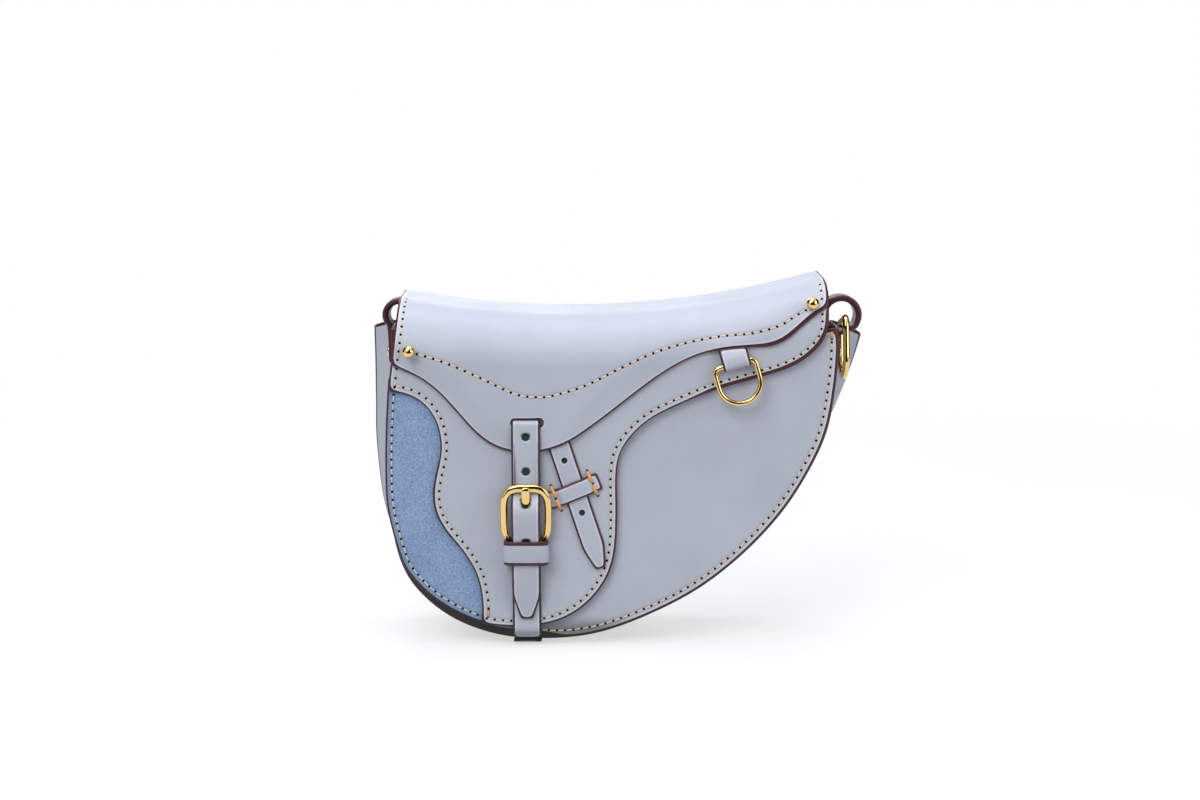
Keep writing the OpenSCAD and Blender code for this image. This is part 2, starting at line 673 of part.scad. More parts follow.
module buckle_prong() color("gold") translate([across(strap_share), front_y - heel_off, heel_z]) {
    difference() {
        union() {
            rotate([0, 90, 0]) cylinder(h = barrel_w, d = barrel_bore + 2 * barrel_wall,
                center = true, $fn = round_fn);
            translate([0, -prong_root[0], prong_root[1]]) rotate([prong_lean, 0, 0]) {
                for (s = [-1, 1]) translate([s * (prong_w - prong_d) / 2, 0, 0]) {
                    cylinder(h = prong_l, d = prong_d, $fn = round_fn);
                    translate([0, 0, prong_l]) sphere(d = prong_d, $fn = round_fn);
                }
                translate([(prong_d - prong_w) / 2, -prong_d / 2, 0])
                    cube([prong_w - prong_d, prong_d, prong_l]);
                translate([0, 0, prong_l]) rotate([0, 90, 0])
                    cylinder(h = prong_w - prong_d, d = prong_d, center = true, $fn = round_fn);
            }
        }
        rotate([0, 90, 0])
            cylinder(h = barrel_w + 2 * over, d = barrel_bore, center = true, $fn = round_fn);
    }
}

// Small slanting strap and the band across it
slant_l = 74;
slant_tip_w = 5.4;
slant_taper = 11;
slant_hole_d = 2.8;
slant_hole_pitch = 14.6;
slant_hole_first = 31.7;
module slant_frame() {
    translate(at(slant_tip_share)) rotate(slant_turn) children();
}
module slant_shape(l) {
    polygon([[-slant_tip_w / 2, 0], [slant_tip_w / 2, 0], [slant_w * 0.37, slant_taper * 0.45],
        [slant_w / 2, slant_taper], [slant_w / 2, l], [-slant_w / 2, l],
        [-slant_w / 2, slant_taper], [-slant_w * 0.37, slant_taper * 0.45]]);
}
module slant_strap() color("lightsteelblue") difference() {
    union() {
        layer(skirt_out + lay_gap, slant_t) difference() {
            slant_frame() slant_shape(slant_l);
            translate([0, -flap_gap]) yoke_shape();
        }
        layer(skirt_out + lay_gap, tuck_t) slant_frame() slant_shape(slant_l);
    }
    for (i = [0 : 2]) layer(0, stack) slant_frame()
        translate([0, slant_hole_first + i * slant_hole_pitch])
            circle(d = slant_hole_d, $fn = round_fn);
}

module band_frame() {
    p = at(slant_band_share);
    translate([p[0], 0, p[1]]) rotate([0, -band_turn, 0]) children();
}
band_low = skirt_out + lay_gap + band_t / 2;
band_high = skirt_out + lay_gap + slant_t + lay_gap + band_t / 2;
module slant_band() color("lightsteelblue") {
    rise = slant_w / 2 + band_t * 0.9;
    land = rise + band_t * 1.6;
    band_frame() rotate([0, 90, 0])
        band([[band_low, -band_l / 2], [band_low, -land], [band_high, -rise], [band_high, rise],
              [band_low, land], [band_low, band_l / 2]], band_t, band_w);
}

thread_d = 0.9;
tack_l = 7.2;
tack_u = 11.2;
module slant_stitches() color("orange") {
    top = band_low + band_t / 2 + thread_d / 2 + lay_gap;
    low = skirt_out + thread_d / 2 + lay_gap;
    edge = band_w / 2 + thread_d * 0.6;
    band_frame() for (u = [-tack_u, tack_u]) for (s = [-1, 1]) translate([u, 0, 0])
        band([[top, s * thread_d * 0.5], [top, s * edge], [(top + low) / 2, s * (edge + tack_l) / 2],
              [low, s * tack_l]], thread_d, thread_d);
}

// Front ring and its tab
ring_off = skirt_out + lay_gap + ring_tab_t + run_gap + ring_wire / 2;
module ring_frame() {
    p = at(ring_share);
    translate([p[0], 0, p[1]]) rotate([0, -ring_turn, 0]) children();
}
tab_up = 10;
module ring_tab() color("lightsteelblue") {
    flap_layer(skirt_out + lay_gap, skirt_out + lay_gap + min(tuck_t, ring_tab_t), back_y)
        translate(at(ring_share)) rotate(ring_turn) translate([-ring_tab_w / 2, tab_up / 4])
            square([ring_tab_w, tab_up]);
    ring_frame() tab_wrap();
}
module tab_wrap() {
    r = ring_wire / 2 + run_gap + ring_tab_t / 2;
    band(concat(
        [[ring_off - r, tab_up / 2], [ring_off - r, 0]],
        [for (i = [1 : fold_steps]) let (a = 180 + 180 * i / fold_steps)
            [ring_off + r * cos(a), r * sin(a)]],
        [[ring_off + r * 0.94, r * 0.8], [ring_off + r * 0.55, r * 1.6],
         [ring_off - r * 0.25, r * 2.3]]),
        ring_tab_t, ring_tab_w);
}
ring_corner_r = 3;
module front_ring() color("gold") ring_frame() translate([0, front_y - ring_off, 0])
    wire_loop(ring_w, ring_h, ring_wire, ring_corner_r, ring_w / 2 - ring_wire / 2, ring_wire);

back_panel();
front_panel();
gusset();
side_tab_left();
side_tab_right();
side_rivet_left();
side_rivet_right();
flap_skirt();
suede_panel();
yoke();
stud_left();
stud_right();
stud_screw_left();
stud_screw_right();
side_ring_left();
side_ring_right();
strap_foot();
billet_strap();
lower_strap();
keeper_loop();
buckle_frame();
buckle_prong();
slant_strap();
slant_band();
slant_stitches();
ring_tab();
front_ring();
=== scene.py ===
"""Finished surfaces for a saddle handbag: leather sheets with painted edges and sewn seams,
a suede inset, a buckled strap and brass rings, all laid on the bag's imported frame."""

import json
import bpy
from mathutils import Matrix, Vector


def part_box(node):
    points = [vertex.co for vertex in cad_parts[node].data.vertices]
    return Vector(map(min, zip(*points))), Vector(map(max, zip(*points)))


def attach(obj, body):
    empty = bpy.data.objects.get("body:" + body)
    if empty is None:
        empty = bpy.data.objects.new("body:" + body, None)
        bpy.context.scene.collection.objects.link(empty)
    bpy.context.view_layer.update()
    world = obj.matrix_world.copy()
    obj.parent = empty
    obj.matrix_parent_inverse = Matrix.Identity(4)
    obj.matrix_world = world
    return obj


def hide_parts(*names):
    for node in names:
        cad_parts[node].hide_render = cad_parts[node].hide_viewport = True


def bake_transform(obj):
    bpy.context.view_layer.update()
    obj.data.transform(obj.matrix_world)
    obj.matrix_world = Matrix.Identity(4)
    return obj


bl_info = {
    "name": "Saddle Handbag Surfaces",
    "version": (1, 0, 0),
    "blender": (4, 5, 0),
    "location": "3D View > Sidebar > Handbag",
    "description": "Makes the leather, suede, seams and brass of a saddle handbag",
    "category": "Add Mesh",
}

import bmesh
import bpy
import numpy as np
from mathutils import geometry

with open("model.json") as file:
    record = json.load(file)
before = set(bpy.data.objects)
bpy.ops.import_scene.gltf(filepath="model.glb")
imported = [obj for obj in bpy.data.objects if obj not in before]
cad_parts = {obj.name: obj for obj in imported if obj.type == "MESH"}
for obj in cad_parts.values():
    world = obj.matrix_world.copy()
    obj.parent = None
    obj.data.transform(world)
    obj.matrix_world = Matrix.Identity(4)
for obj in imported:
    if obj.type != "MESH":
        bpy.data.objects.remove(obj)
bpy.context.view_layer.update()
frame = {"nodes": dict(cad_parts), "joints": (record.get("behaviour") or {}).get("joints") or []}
MM = 0.001


def node_box(name):
    """Lowest and highest corner of a node of the frame, as two rows."""
    return np.array([list(corner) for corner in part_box(name)])


def joint(name):
    """Place of a joint of the frame."""
    return np.array(next(j["pos_m"] for j in frame["joints"] if j["name"] == name))


def pairs(*numbers):
    """Numbers two by two, as the rows of a table."""
    return np.array(numbers, float).reshape(-1, 2)


FRONT = node_box("front_panel")[0, 1]
BACK = node_box("back_panel")[1, 1]
MIDDLE = (FRONT + BACK) / 2
BASE = 2.0 * MM
PANEL = 2.0 * MM
# The top edges are arcs about one centre, the dip's: where the flap turns back over its round
# shoulder, and where the front and the back panel end
DIP = np.array((-25.0, 667.3)) * MM
SHOULDER = 27.0 * MM
TURN = 518.0 * MM
FRONT_BRIM = 515.7 * MM
BACK_BRIM = 492.6 * MM
OUTER = 7.2 * MM
TURN_Y = FRONT - OUTER + SHOULDER
QUARTER = np.pi / 2

# Layers of the flap, as distances forward of the front panel's face
SUEDE_OFF = 0.3 * MM
SKIRT_OFF = 1.8 * MM
YOKE_OFF = 5.2 * MM
LAY = 0.1 * MM
SKIRT_FACE = 3.8 * MM

# Outlines seen from the front, in millimetres from the middle and above the base
FRONT_EDGE = pairs(-117.8, 166, -117.9, 148, -119, 122, -120, 94, -119, 62, -113, 38.5, -101, 22.5,
    -84, 10.5, -62, 3, -38, 1.2, -12, 4, 14, 13.2, 42, 28, 66, 47.3, 86, 69.5, 100, 92, 109, 113,
    112.8, 135, 114.2, 152, 114.2, 166)
BACK_EDGE = pairs(-133.7, 161.6, -133.5, 144, -133.6, 122, -133.6, 98, -130, 64, -121, 39.5,
    -104, 22.5, -84, 10.5, -62, 3, -38, 1.2, -12, 4, 14, 13.2, 42, 28, 68, 47, 90, 70, 106, 92,
    117.5, 111.5, 125.6, 131, 130.6, 145.5, 134, 157)
BACK_NECK_RIGHT = pairs(132.6, 159.6, 124, 161.5, 114, 165, 109, 174, 108.2, 186)
BACK_NECK_LEFT = pairs(-114.4, 180, -115, 170, -119.5, 163.8, -125, 163.1, -132.4, 163.4)
SKIRT_RIGHT = pairs(108.2, 210, 108.2, 190, 108.1, 179, 108, 169.5, 105.7, 161.3, 98.5, 153.3,
    88, 147, 75, 142.7, 60.5, 138.6, 46, 134, 32, 128, 18, 121, 8, 112.4, 1.3, 102.3, -0.6, 90,
    -0.4, 70, -1.3, 51, -4.4, 38.5, -10.5, 28, -19, 19.2, -30, 12.7, -44, 9.3, -58, 8.9,
    -72.5, 10.4)
CUT_OUT = pairs(-72.5, 10.4, -71.8, 18, -72.4, 27, -75, 38, -82, 50, -90, 60, -95.4, 69.5, -97, 80,
    -95.4, 91, -93, 101, -92.8, 110, -95.4, 120, -101, 128, -108.5, 132.7, -119.6, 135)
FLAP_LEFT = pairs(-119.6, 135, -117.6, 149, -115.6, 162, -114.5, 176, -114.4, 190, -114.4, 210)
SUEDE_OUTER = pairs(-119.2, 143, -120.9, 120, -121.8, 94, -120.9, 71, -114.2, 44.6, -108, 34.5,
    -99.6, 25.6, -87.4, 17.2, -73, 10.6)
SUEDE_INNER = pairs(-62.5, 10, -63, 24, -67, 40, -75, 54, -84, 66, -88, 79, -86.4, 92, -84.2, 104,
    -86, 120, -94, 134, -106, 141)
YOKE_EDGE = pairs(-122, 150.4, -112, 146.6, -103, 142.3, -94, 135.6, -85, 125.8, -75, 114.3,
    -66, 107.2, -56, 103.6, -47, 102.9, -37, 104.4, -24, 109.7, -9.5, 119.7, 9, 134.2, 24, 145.2,
    40, 153.8, 54.7, 157.6, 66, 158.4, 77.6, 158.6, 86, 162, 94, 169, 102, 176, 114, 184)
YOKE_SEAM = pairs(-107.4, 155.9, -92, 151.3, -76.3, 144.8, -60.5, 137.2, -52.5, 133.8, -42.6,
    132.4, -33.6, 133.3, -17.4, 138.3, 1.8, 147.9, 17.6, 155.1, 33.6, 160.2, 51, 163.6, 68.3,
    165.4, 81.8, 169, 89.1, 173.1, 94, 176.2, 100, 179)

# Centre lines of the straps, as (distance forward of the front panel, height) in millimetres
STRAP_X = -48 * MM
LEAN = np.radians(10)
BILLET_PATH = pairs(4.3, 121.27, 6.4, 121.27, 7.06, 121.24, 7.42, 121.14, 7.74, 120.93, 7.97,
    120.6, 8.1, 120, 8.1, 116, 8.1, 110, 8.04, 105.5, 7.62, 99, 7.5, 93, 7.5, 88.2, 8.7, 84.6,
    12.3, 80, 14.1, 76.3, 14.4, 73, 13.7, 68, 12.6, 63.4, 12.1, 59.4, 11.84, 56, 11.22, 52, 10.66,
    47, 9.88, 40, 9.21, 35, 8.42, 30, 7.25, 24, 6.5, 18.5, 6.35, 16.2)
CHAPE_BACK = pairs(6, 35, 6, 47, 6, 59.4)
CHAPE_FRONT = pairs(10.09, 56, 9.47, 52, 8.91, 47, 8.13, 40, 7.46, 35, 6.67, 30, 5.5, 24, 4.71, 18,
    4.6, 14, 4.6, 10.7, 4.13, 9, 2.4, 7.4, 0.9, 5.6, 0.8, 3.9)
FOOT_PATH = pairs(0.8, 3.6, 0.5, 2.4, -0.9, 1.7, -3.2, 1.5, -20, 1.5, -50, 1.5)
BAND_LOW = 4.6
BAND_PATH = pairs(4.6, -14.4, 4.6, -10.3, 4.85, -9.3, 6.0, -7.5, 6.3, -6.3, 6.3, 0, 6.3, 6.3,
    6.0, 7.5, 4.85, 9.3, 4.6, 10.3, 4.6, 15.5)
TACK_PATH = pairs(4.8, 0.75, 5.75, 1.6, 5.9, 3.2, 5.7, 4.6, 4.9, 5.6, 4.5, 6.2, 3.7, 6.7)
BACK_SEAM = 3.9 * MM

# The brass: half of the buckle's frame, the prong past its curl, and the dome of a rivet as
# shares of its radius and height
BUCKLE_LEAN = np.radians(5.38)
BUCKLE_HALF = pairs(0, 0, 4, 0, 6.9, 0.1, 9.1, 0.9, 10.6, 2.7, 11.2, 5.4, 11.42, 9.5, 11.45, 14.5,
    11.4, 19, 10.7, 23.2, 8.7, 26.2, 6, 27.5, 3, 27.72)
PRONG_SHANK = pairs(1.0, 3.4, 1.6, 5.6, 2.1, 10, 2.9, 16, 3.5, 19.3, 4.5, 23.4, 5.1, 26.2,
    5.38, 27.6, 5.32, 28.7)
RIVET_DOME = pairs(0.02, 1.0, 0.35, 0.97, 0.62, 0.86, 0.84, 0.62, 0.96, 0.34, 1.0, 0.1, 0.97, 0.0)

# Lamps: name, place, size, power and tint
LAMPS = (("key", (-0.6, -1.1, 1.2), (0.9, 0.9), 14.5, (1.0, 1.0, 1.0)),
         ("fill", (1.2, -0.9, 0.6), (0.9, 0.9), 6.0, (1.0, 1.0, 1.0)),
         ("top", (-0.05, 0.0, 1.5), (1.1, 0.8), 10.5, (0.86, 0.90, 1.0)),
         ("back", (-0.4, 1.3, 0.9), (0.9, 0.7), 4.5, (1.0, 1.0, 1.0)))

# A mask's distance in millimetres where there is no edge or seam near, the points round a
# thread, and how many points are measured at a time
FAR = 9.0
ROUND = 6
BLOCK = 4000


# Curves in the plane


def table(points):
    """A table of front-view points as places, in metres above the floor."""
    return points * MM + (0, BASE)


def ease(share):
    """A smooth step from 0 to 1, held at its ends."""
    share = np.clip(share, 0, 1)
    return share * share * (3 - 2 * share)


def spline(points, steps=8):
    """A smooth curve through points. Each span is a cubic in t that leaves and reaches its ends
    along the line between the points on either side of them."""
    p = np.asarray(points, float)
    i = np.arange(len(p) - 1)
    ends = np.maximum(i - 1, 0), i, i + 1, np.minimum(i + 2, len(p) - 1)
    a, b, c, d = (p[k][:, None] for k in ends)
    t = (np.arange(steps) / steps)[None, :, None]
    s = (2 * b + (c - a) * t + (2 * a - 5 * b + 4 * c - d) * t ** 2
         + (3 * b - a - 3 * c + d) * t ** 3) / 2
    return np.vstack((s.reshape(-1, p.shape[1]), p[-1:]))


def run_of(path):
    """Distance along a path at each of its points."""
    return np.concatenate(([0], np.cumsum(np.linalg.norm(np.diff(path, axis=0), axis=1))))


def at_run(path, distance, values=None):
    """Points of a path at distances along it, or values that are given at its points."""
    run, values = run_of(path), path if values is None else values
    return np.stack([np.interp(distance, run, column) for column in values.T], -1)


def evenly(path, gap, closed=False):
    """A path again with its points an equal distance apart, close to gap."""
    if closed:
        path = np.vstack((path, path[:1]))
    length = run_of(path)[-1]
    out = at_run(path, np.linspace(0, length, max(2, int(round(length / gap))) + 1))
    return out[:-1] if closed else out


def smoothed(loop, rounds):
    """A loop whose points are each the mean of themselves and their neighbours, with weights
    of 1, 2 and 1, a number of times over."""
    for _ in range(rounds):
        loop = (np.roll(loop, 1, 0) + 2 * loop + np.roll(loop, -1, 0)) / 4
    return loop


def outline(*parts, gap=0.9 * MM, soft=9):
    """One closed loop, anticlockwise, from several paths, with its corners rounded."""
    loop = evenly(np.vstack(parts), gap, closed=True)
    x, z = loop.T
    if np.sum(x * np.roll(z, -1) - z * np.roll(x, -1)) < 0:
        loop = loop[::-1]
    return smoothed(loop, soft)


def left_of(path, closed=False):
    """Unit normals on the left of a path."""
    step = np.roll(path, -1, 0) - np.roll(path, 1, 0) if closed else np.gradient(path, axis=0)
    return np.column_stack((-step[:, 1], step[:, 0])) / np.linalg.norm(step, axis=1)[:, None]


def beside(path, distance):
    """A path moved to its left by a distance, or by one for each point."""
    return path + left_of(path) * np.reshape(distance, (-1, 1))


def between(path, low=-np.inf, high=np.inf):
    """The points of a path whose heights lie between two, in millimetres."""
    z = path[:, 1] / MM
    return path[(z > low) & (z < high)]


def inset(loop, distance):
    """A loop moved to its left by a distance, or by one for each point, in short steps that
    are each smoothed, because a step crowds the points at a corner."""
    distance = np.broadcast_to(distance, len(loop))[:, None]
    steps = max(1, int(np.ceil(distance.max() / (0.4 * MM))))
    for _ in range(steps):
        loop = smoothed(loop + left_of(loop, True) * distance / steps, 5 * (steps > 1))
    return loop


def turned(points, angle):
    """Points of a plane turned about its origin."""
    (x, y), c, s = points.T, np.cos(angle), np.sin(angle)
    return np.column_stack((x * c - y * s, x * s + y * c))


def around(count, radius=1.0):
    """Points round a circle, anticlockwise from its right."""
    turn = np.arange(count) / count * 2 * np.pi
    return radius * np.column_stack((np.cos(turn), np.sin(turn)))


def arc(start, stop, count, radius=1.0):
    """Points along an arc from one angle to another, in degrees."""
    turn = np.radians(np.linspace(start, stop, count))
    return radius * np.column_stack((np.cos(turn), np.sin(turn)))


def circle(centre, radius, count=28, stretch=0.0):
    """A clockwise circle, drawn out by stretch to each side along the second axis."""
    ring = around(count, radius) * (1, -1)
    return centre + ring + np.column_stack((0 * ring[:, 0], np.sign(ring[:, 1]) * stretch))


def nearest(points, path, closed=True):
    """Distance from each point to a path, positive on its left. The nearest corner of the path
    comes from the squares' expansion, then both spans that meet there are measured."""
    q = np.vstack((path, path[:1])) if closed else path
    found = np.empty(len(points))
    last = len(q) - 2
    for start in range(0, len(points), BLOCK):
        p = points[start:start + BLOCK]
        near = np.argmin((q ** 2).sum(1) - 2 * p @ q.T, axis=1)
        best, sign = np.full(len(p), np.inf), np.ones(len(p))
        for step in (-1, 0):
            i = (near + step) % (last + 1) if closed else np.clip(near + step, 0, last)
            a, b = q[i], q[i + 1]
            share = np.clip(((p - a) * (b - a)).sum(1) / ((b - a) ** 2).sum(1), 0, 1)
            away = p - a - share[:, None] * (b - a)
            far = np.linalg.norm(away, axis=1)
            turn = (b - a)[:, 0] * away[:, 1] - (b - a)[:, 1] * away[:, 0]
            sign = np.where(far < best, np.where(turn < 0, -1, 1), sign)
            best = np.minimum(far, best)
        found[start:start + BLOCK] = best * sign
    return found


def inside(points, loops):
    """True for each point from which a ray crosses the loops an odd number of times."""
    odd = np.zeros(len(points), bool)
    for a in loops:
        b = np.roll(a, -1, 0)
        rise = np.where(b[:, 1] == a[:, 1], 1, b[:, 1] - a[:, 1])
        for start in range(0, len(points), BLOCK):
            x, z = (points[start:start + BLOCK, k, None] for k in (0, 1))
            spans = (a[:, 1] > z) != (b[:, 1] > z)
            cross = x < (b[:, 0] - a[:, 0]) * (z - a[:, 1]) / rise + a[:, 0]
            odd[start:start + BLOCK] ^= (np.sum(spans & cross, axis=1) % 2).astype(bool)
    return odd


def fill(loops, gap, lines=()):
    """Triangles inside the first loop and outside the others, over rows of points gap apart,
    every second row half a gap along, that keep clear of the loops. The triangles' edges
    follow each open line."""
    low, high = loops[0].min(0), loops[0].max(0)
    levels = np.arange(low[1], high[1], gap * 0.866)
    x, z = np.meshgrid(np.arange(low[0], high[0], gap), levels)
    x = x + (np.arange(len(levels)) % 2)[:, None] * gap / 2
    grid = np.column_stack((x.ravel(), z.ravel()))
    grid = grid[inside(grid, loops)]
    for paths, closed in ((loops, True), (lines, False)):
        for path in paths:
            grid = grid[np.abs(nearest(grid, path, closed)) > gap * 0.5]
    points = np.vstack((*loops, *lines, grid))
    starts = np.cumsum([0] + [len(path) for path in (*loops, *lines)])
    ids = [s + np.arange(len(path)) for s, path in zip(starts, (*loops, *lines))]
    rings = ids[:len(loops)]
    edges = [np.column_stack((r, np.roll(r, -1))) for r in rings]
    edges += [np.column_stack((r[:-1], r[1:])) for r in ids[len(loops):]]
    made = geometry.delaunay_2d_cdt(points.tolist(), np.vstack(edges).tolist(), [], 0, 1e-9)
    if len(made[0]) != len(points):
        raise RuntimeError("an outline crosses itself after its edge was set in")
    faces = np.array(made[2])
    rim = (faces < starts[len(loops)]).all(1)
    keep = ~rim
    keep[rim] = inside(points[faces[rim]].mean(1), loops)
    return points, faces[keep], rings


# Places in space


def unroll(front):
    """Front-view points laid flat. Above the turn line, which is TURN from the dip's centre,
    the height becomes the distance along a round shoulder."""
    away = front - DIP
    r = np.linalg.norm(away, axis=1)
    rise = SHOULDER * np.arcsin(np.clip((TURN - r) / SHOULDER, 0, 1))
    return DIP + away / r[:, None] * np.where(r < TURN, TURN - rise, r)[:, None]


def on_flap(off, drop=None):
    """Carries flat points onto the flap at off plus a height, forward of the front panel.
    Past the turn line they go round an arc about the shoulder's axis, then back over the top."""
    def place(flat, height):
        away = flat - DIP
        r = np.linalg.norm(away, axis=1)
        layer = off + height - (drop(flat) if drop else 0)
        rise = np.maximum(TURN - r, 0)
        turn = np.minimum(rise / SHOULDER, QUARTER)
        bend = SHOULDER - OUTER + layer
        reach = np.where(r < TURN, TURN - bend * np.sin(turn), r)
        y = TURN_Y - bend * np.cos(turn) + np.maximum(rise - SHOULDER * QUARTER, 0)
        return np.insert(DIP + away / r[:, None] * reach[:, None], 1, y, axis=1)
    return place


def on_plane(y, way=-1):
    """Carries flat points onto an upright plane, with height towards way along Y."""
    return lambda flat, height: np.insert(flat, 1, y + way * height, axis=1)


def along(path, thick, carry):
    """Carries flat points along a path: the first number runs across it, the second is the
    distance along it, and the height is measured square to it from half the thickness down."""
    path = evenly(path, 0.25 * MM)

    def place(flat, height):
        s = flat[:, 1]
        n = at_run(path, s, left_of(path))
        n /= np.linalg.norm(n, axis=1)[:, None]
        return carry(flat[:, 0], at_run(path, s) + n * (height + 0 * s - thick / 2)[:, None])
    return place, run_of(path)[-1]


def forward(origin, turn=0.0):
    """Carries (across, (distance forward, height)) to space, turned in the front view by an
    angle about an origin."""
    def carry(across, p):
        spot = origin + turned(np.column_stack((across + 0 * p[:, 1], p[:, 1])), turn)
        return np.insert(spot, 1, FRONT - p[:, 0], axis=1)
    return carry


def strap(path, thick, carry, width, gap, soft, tip=None):
    """What carries a strap's flat points along a path, and the strap's outline laid flat. tip
    gives half-widths and distances back from a pointed end."""
    place, length = along(path, thick, carry)
    end = [[width / 2, length]] if tip is None else [[w, length - back] for w, back in tip]
    side = np.array([[width / 2, 0.0], *end])
    return place, outline(side, side[::-1] * (-1, 1), gap=gap, soft=soft)


# Meshes


def add_piece(name, points, faces, materials, slots=None, masks=None):
    """A mesh from arrays of points and of faces, with its normals turned outwards."""
    sizes = np.concatenate([np.full(len(f), f.shape[1]) for f in faces])
    corners = np.concatenate([f.ravel() for f in faces]).astype(np.int32)
    mesh = bpy.data.meshes.new(name)
    mesh.vertices.add(len(points))
    mesh.vertices.foreach_set("co", np.asarray(points, np.float32).ravel())
    mesh.loops.add(len(corners))
    mesh.loops.foreach_set("vertex_index", corners)
    mesh.polygons.add(len(sizes))
    mesh.polygons.foreach_set("loop_start", (np.cumsum(sizes) - sizes).astype(np.int32))
    mesh.polygons.foreach_set("use_smooth", np.ones(len(sizes), bool))
    if slots is not None:
        mesh.polygons.foreach_set("material_index", np.concatenate(slots).astype(np.int32))
    for mask, values in (masks or {}).items():
        layer = mesh.attributes.new(mask, "FLOAT", "POINT")
        layer.data.foreach_set("value", np.asarray(values, np.float32))
    mesh.update(calc_edges=True)
    for material in materials:
        mesh.materials.append(bpy.data.materials[material])
    work = bmesh.new()
    work.from_mesh(mesh)
    bmesh.ops.recalc_face_normals(work, faces=work.faces)
    work.to_mesh(mesh)
    work.free()
    mesh.validate()
    piece = bpy.data.objects.new(name, mesh)
    bpy.context.scene.collection.objects.link(piece)
    return piece


def settle(piece, body, slot, *nodes):
    """Gives a piece its body and hides the frame nodes that it stands for. slot is not used."""
    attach(piece, body)
    if nodes:
        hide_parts(*nodes)


def grid_faces(rows, columns, wrap_rows=False, wrap_columns=False, start=0):
    """Four-sided faces of a grid of points, each side closed where it wraps."""
    i = np.arange(rows if wrap_rows else rows - 1)
    j = np.arange(columns if wrap_columns else columns - 1)
    i, j = np.meshgrid(i, j, indexing="ij")
    k, m = (i + 1) % rows, (j + 1) % columns
    faces = np.stack((i * columns + j, k * columns + j, k * columns + m, i * columns + m), -1)
    return faces.reshape(-1, 4) + start


def ring_faces(a, b):
    """Four-sided faces between two rings of points."""
    return np.column_stack((a, b, np.roll(b, -1), np.roll(a, -1)))


def edge_section(thick, radius):
    """A cut edge from front to back as (distance in, height): a lip, then a half round whose
    height follows the sine and whose distance in follows one less the cosine of its angle."""
    turn = np.radians((86, 68, 50, 30, 8, -20, -50, -86))
    radius = np.atleast_1d(radius)
    bead = [(radius * (1 - c), thick / 2 * (1 + s)) for c, s in zip(np.cos(turn), np.sin(turn))]
    return [(radius * 1.25, thick), *bead, (radius * 1.25, 0.0)]


def sheet(name, loops, place, thick, materials, gap=1.6 * MM, radius=1.15 * MM,
          hole_radius=None, hole_slot=1, seam=None, lines=()):
    """A leather sheet with a rounded edge. The loops give its cut edge laid flat, the first one
    outside and the others round its holes. place carries flat points and heights to space.
    radius is the width of the painted edge, in one number or one for each point of the outer
    loop. Its materials are the face, the painted edge, the back and the wall of its holes."""
    sections = [edge_section(thick, hole_radius if k else radius) for k in range(len(loops))]
    tops = [inset(loop, section[0][0]) for loop, section in zip(loops, sections)]
    flat_top, top_faces, top_rings = fill(tops, gap, lines)
    flat_low, low_faces, low_rings = fill(tops, gap * 3)
    flats, heights = [flat_top, flat_low], [np.full(len(flat_top), thick), 0 * flat_low[:, 0]]
    faces = [top_faces, low_faces + len(flat_top)]
    slots = [np.zeros(len(top_faces)), np.full(len(low_faces), 2)]
    for k, (loop, section) in enumerate(zip(loops, sections)):
        ids = [top_rings[k]]
        for away, height in section[1:-1]:
            ids.append(sum(map(len, flats)) + np.arange(len(loop)))
            flats.append(inset(loop, away))
            heights.append(np.full(len(loop), height))
        ids.append(low_rings[k] + len(flat_top))
        paints = [0, *[hole_slot if k else 1] * (len(ids) - 3), 2]
        faces += [ring_faces(a, b) for a, b in zip(ids, ids[1:])]
        slots += [np.full(len(loop), paint) for paint in paints]
    flat = np.vstack(flats)
    rim = np.min([np.maximum(nearest(flat, top), 0) for top in tops], axis=0)
    sewn = FAR + 0 * rim if seam is None else seam(flat, np.abs(nearest(flat, loops[0]))) / MM
    return add_piece(name, place(flat, np.concatenate(heights)), faces, materials, slots,
                     {"rim": rim / MM, "seam": sewn})


def leather(node, body, loops, place, thick, materials=None, **more):
    """A sheet of strap leather, or of the materials given, that stands for a node."""
    settle(sheet(f"{node}_leather", loops, place, thick, materials or STRAP, **more),
           body, "leather", node)


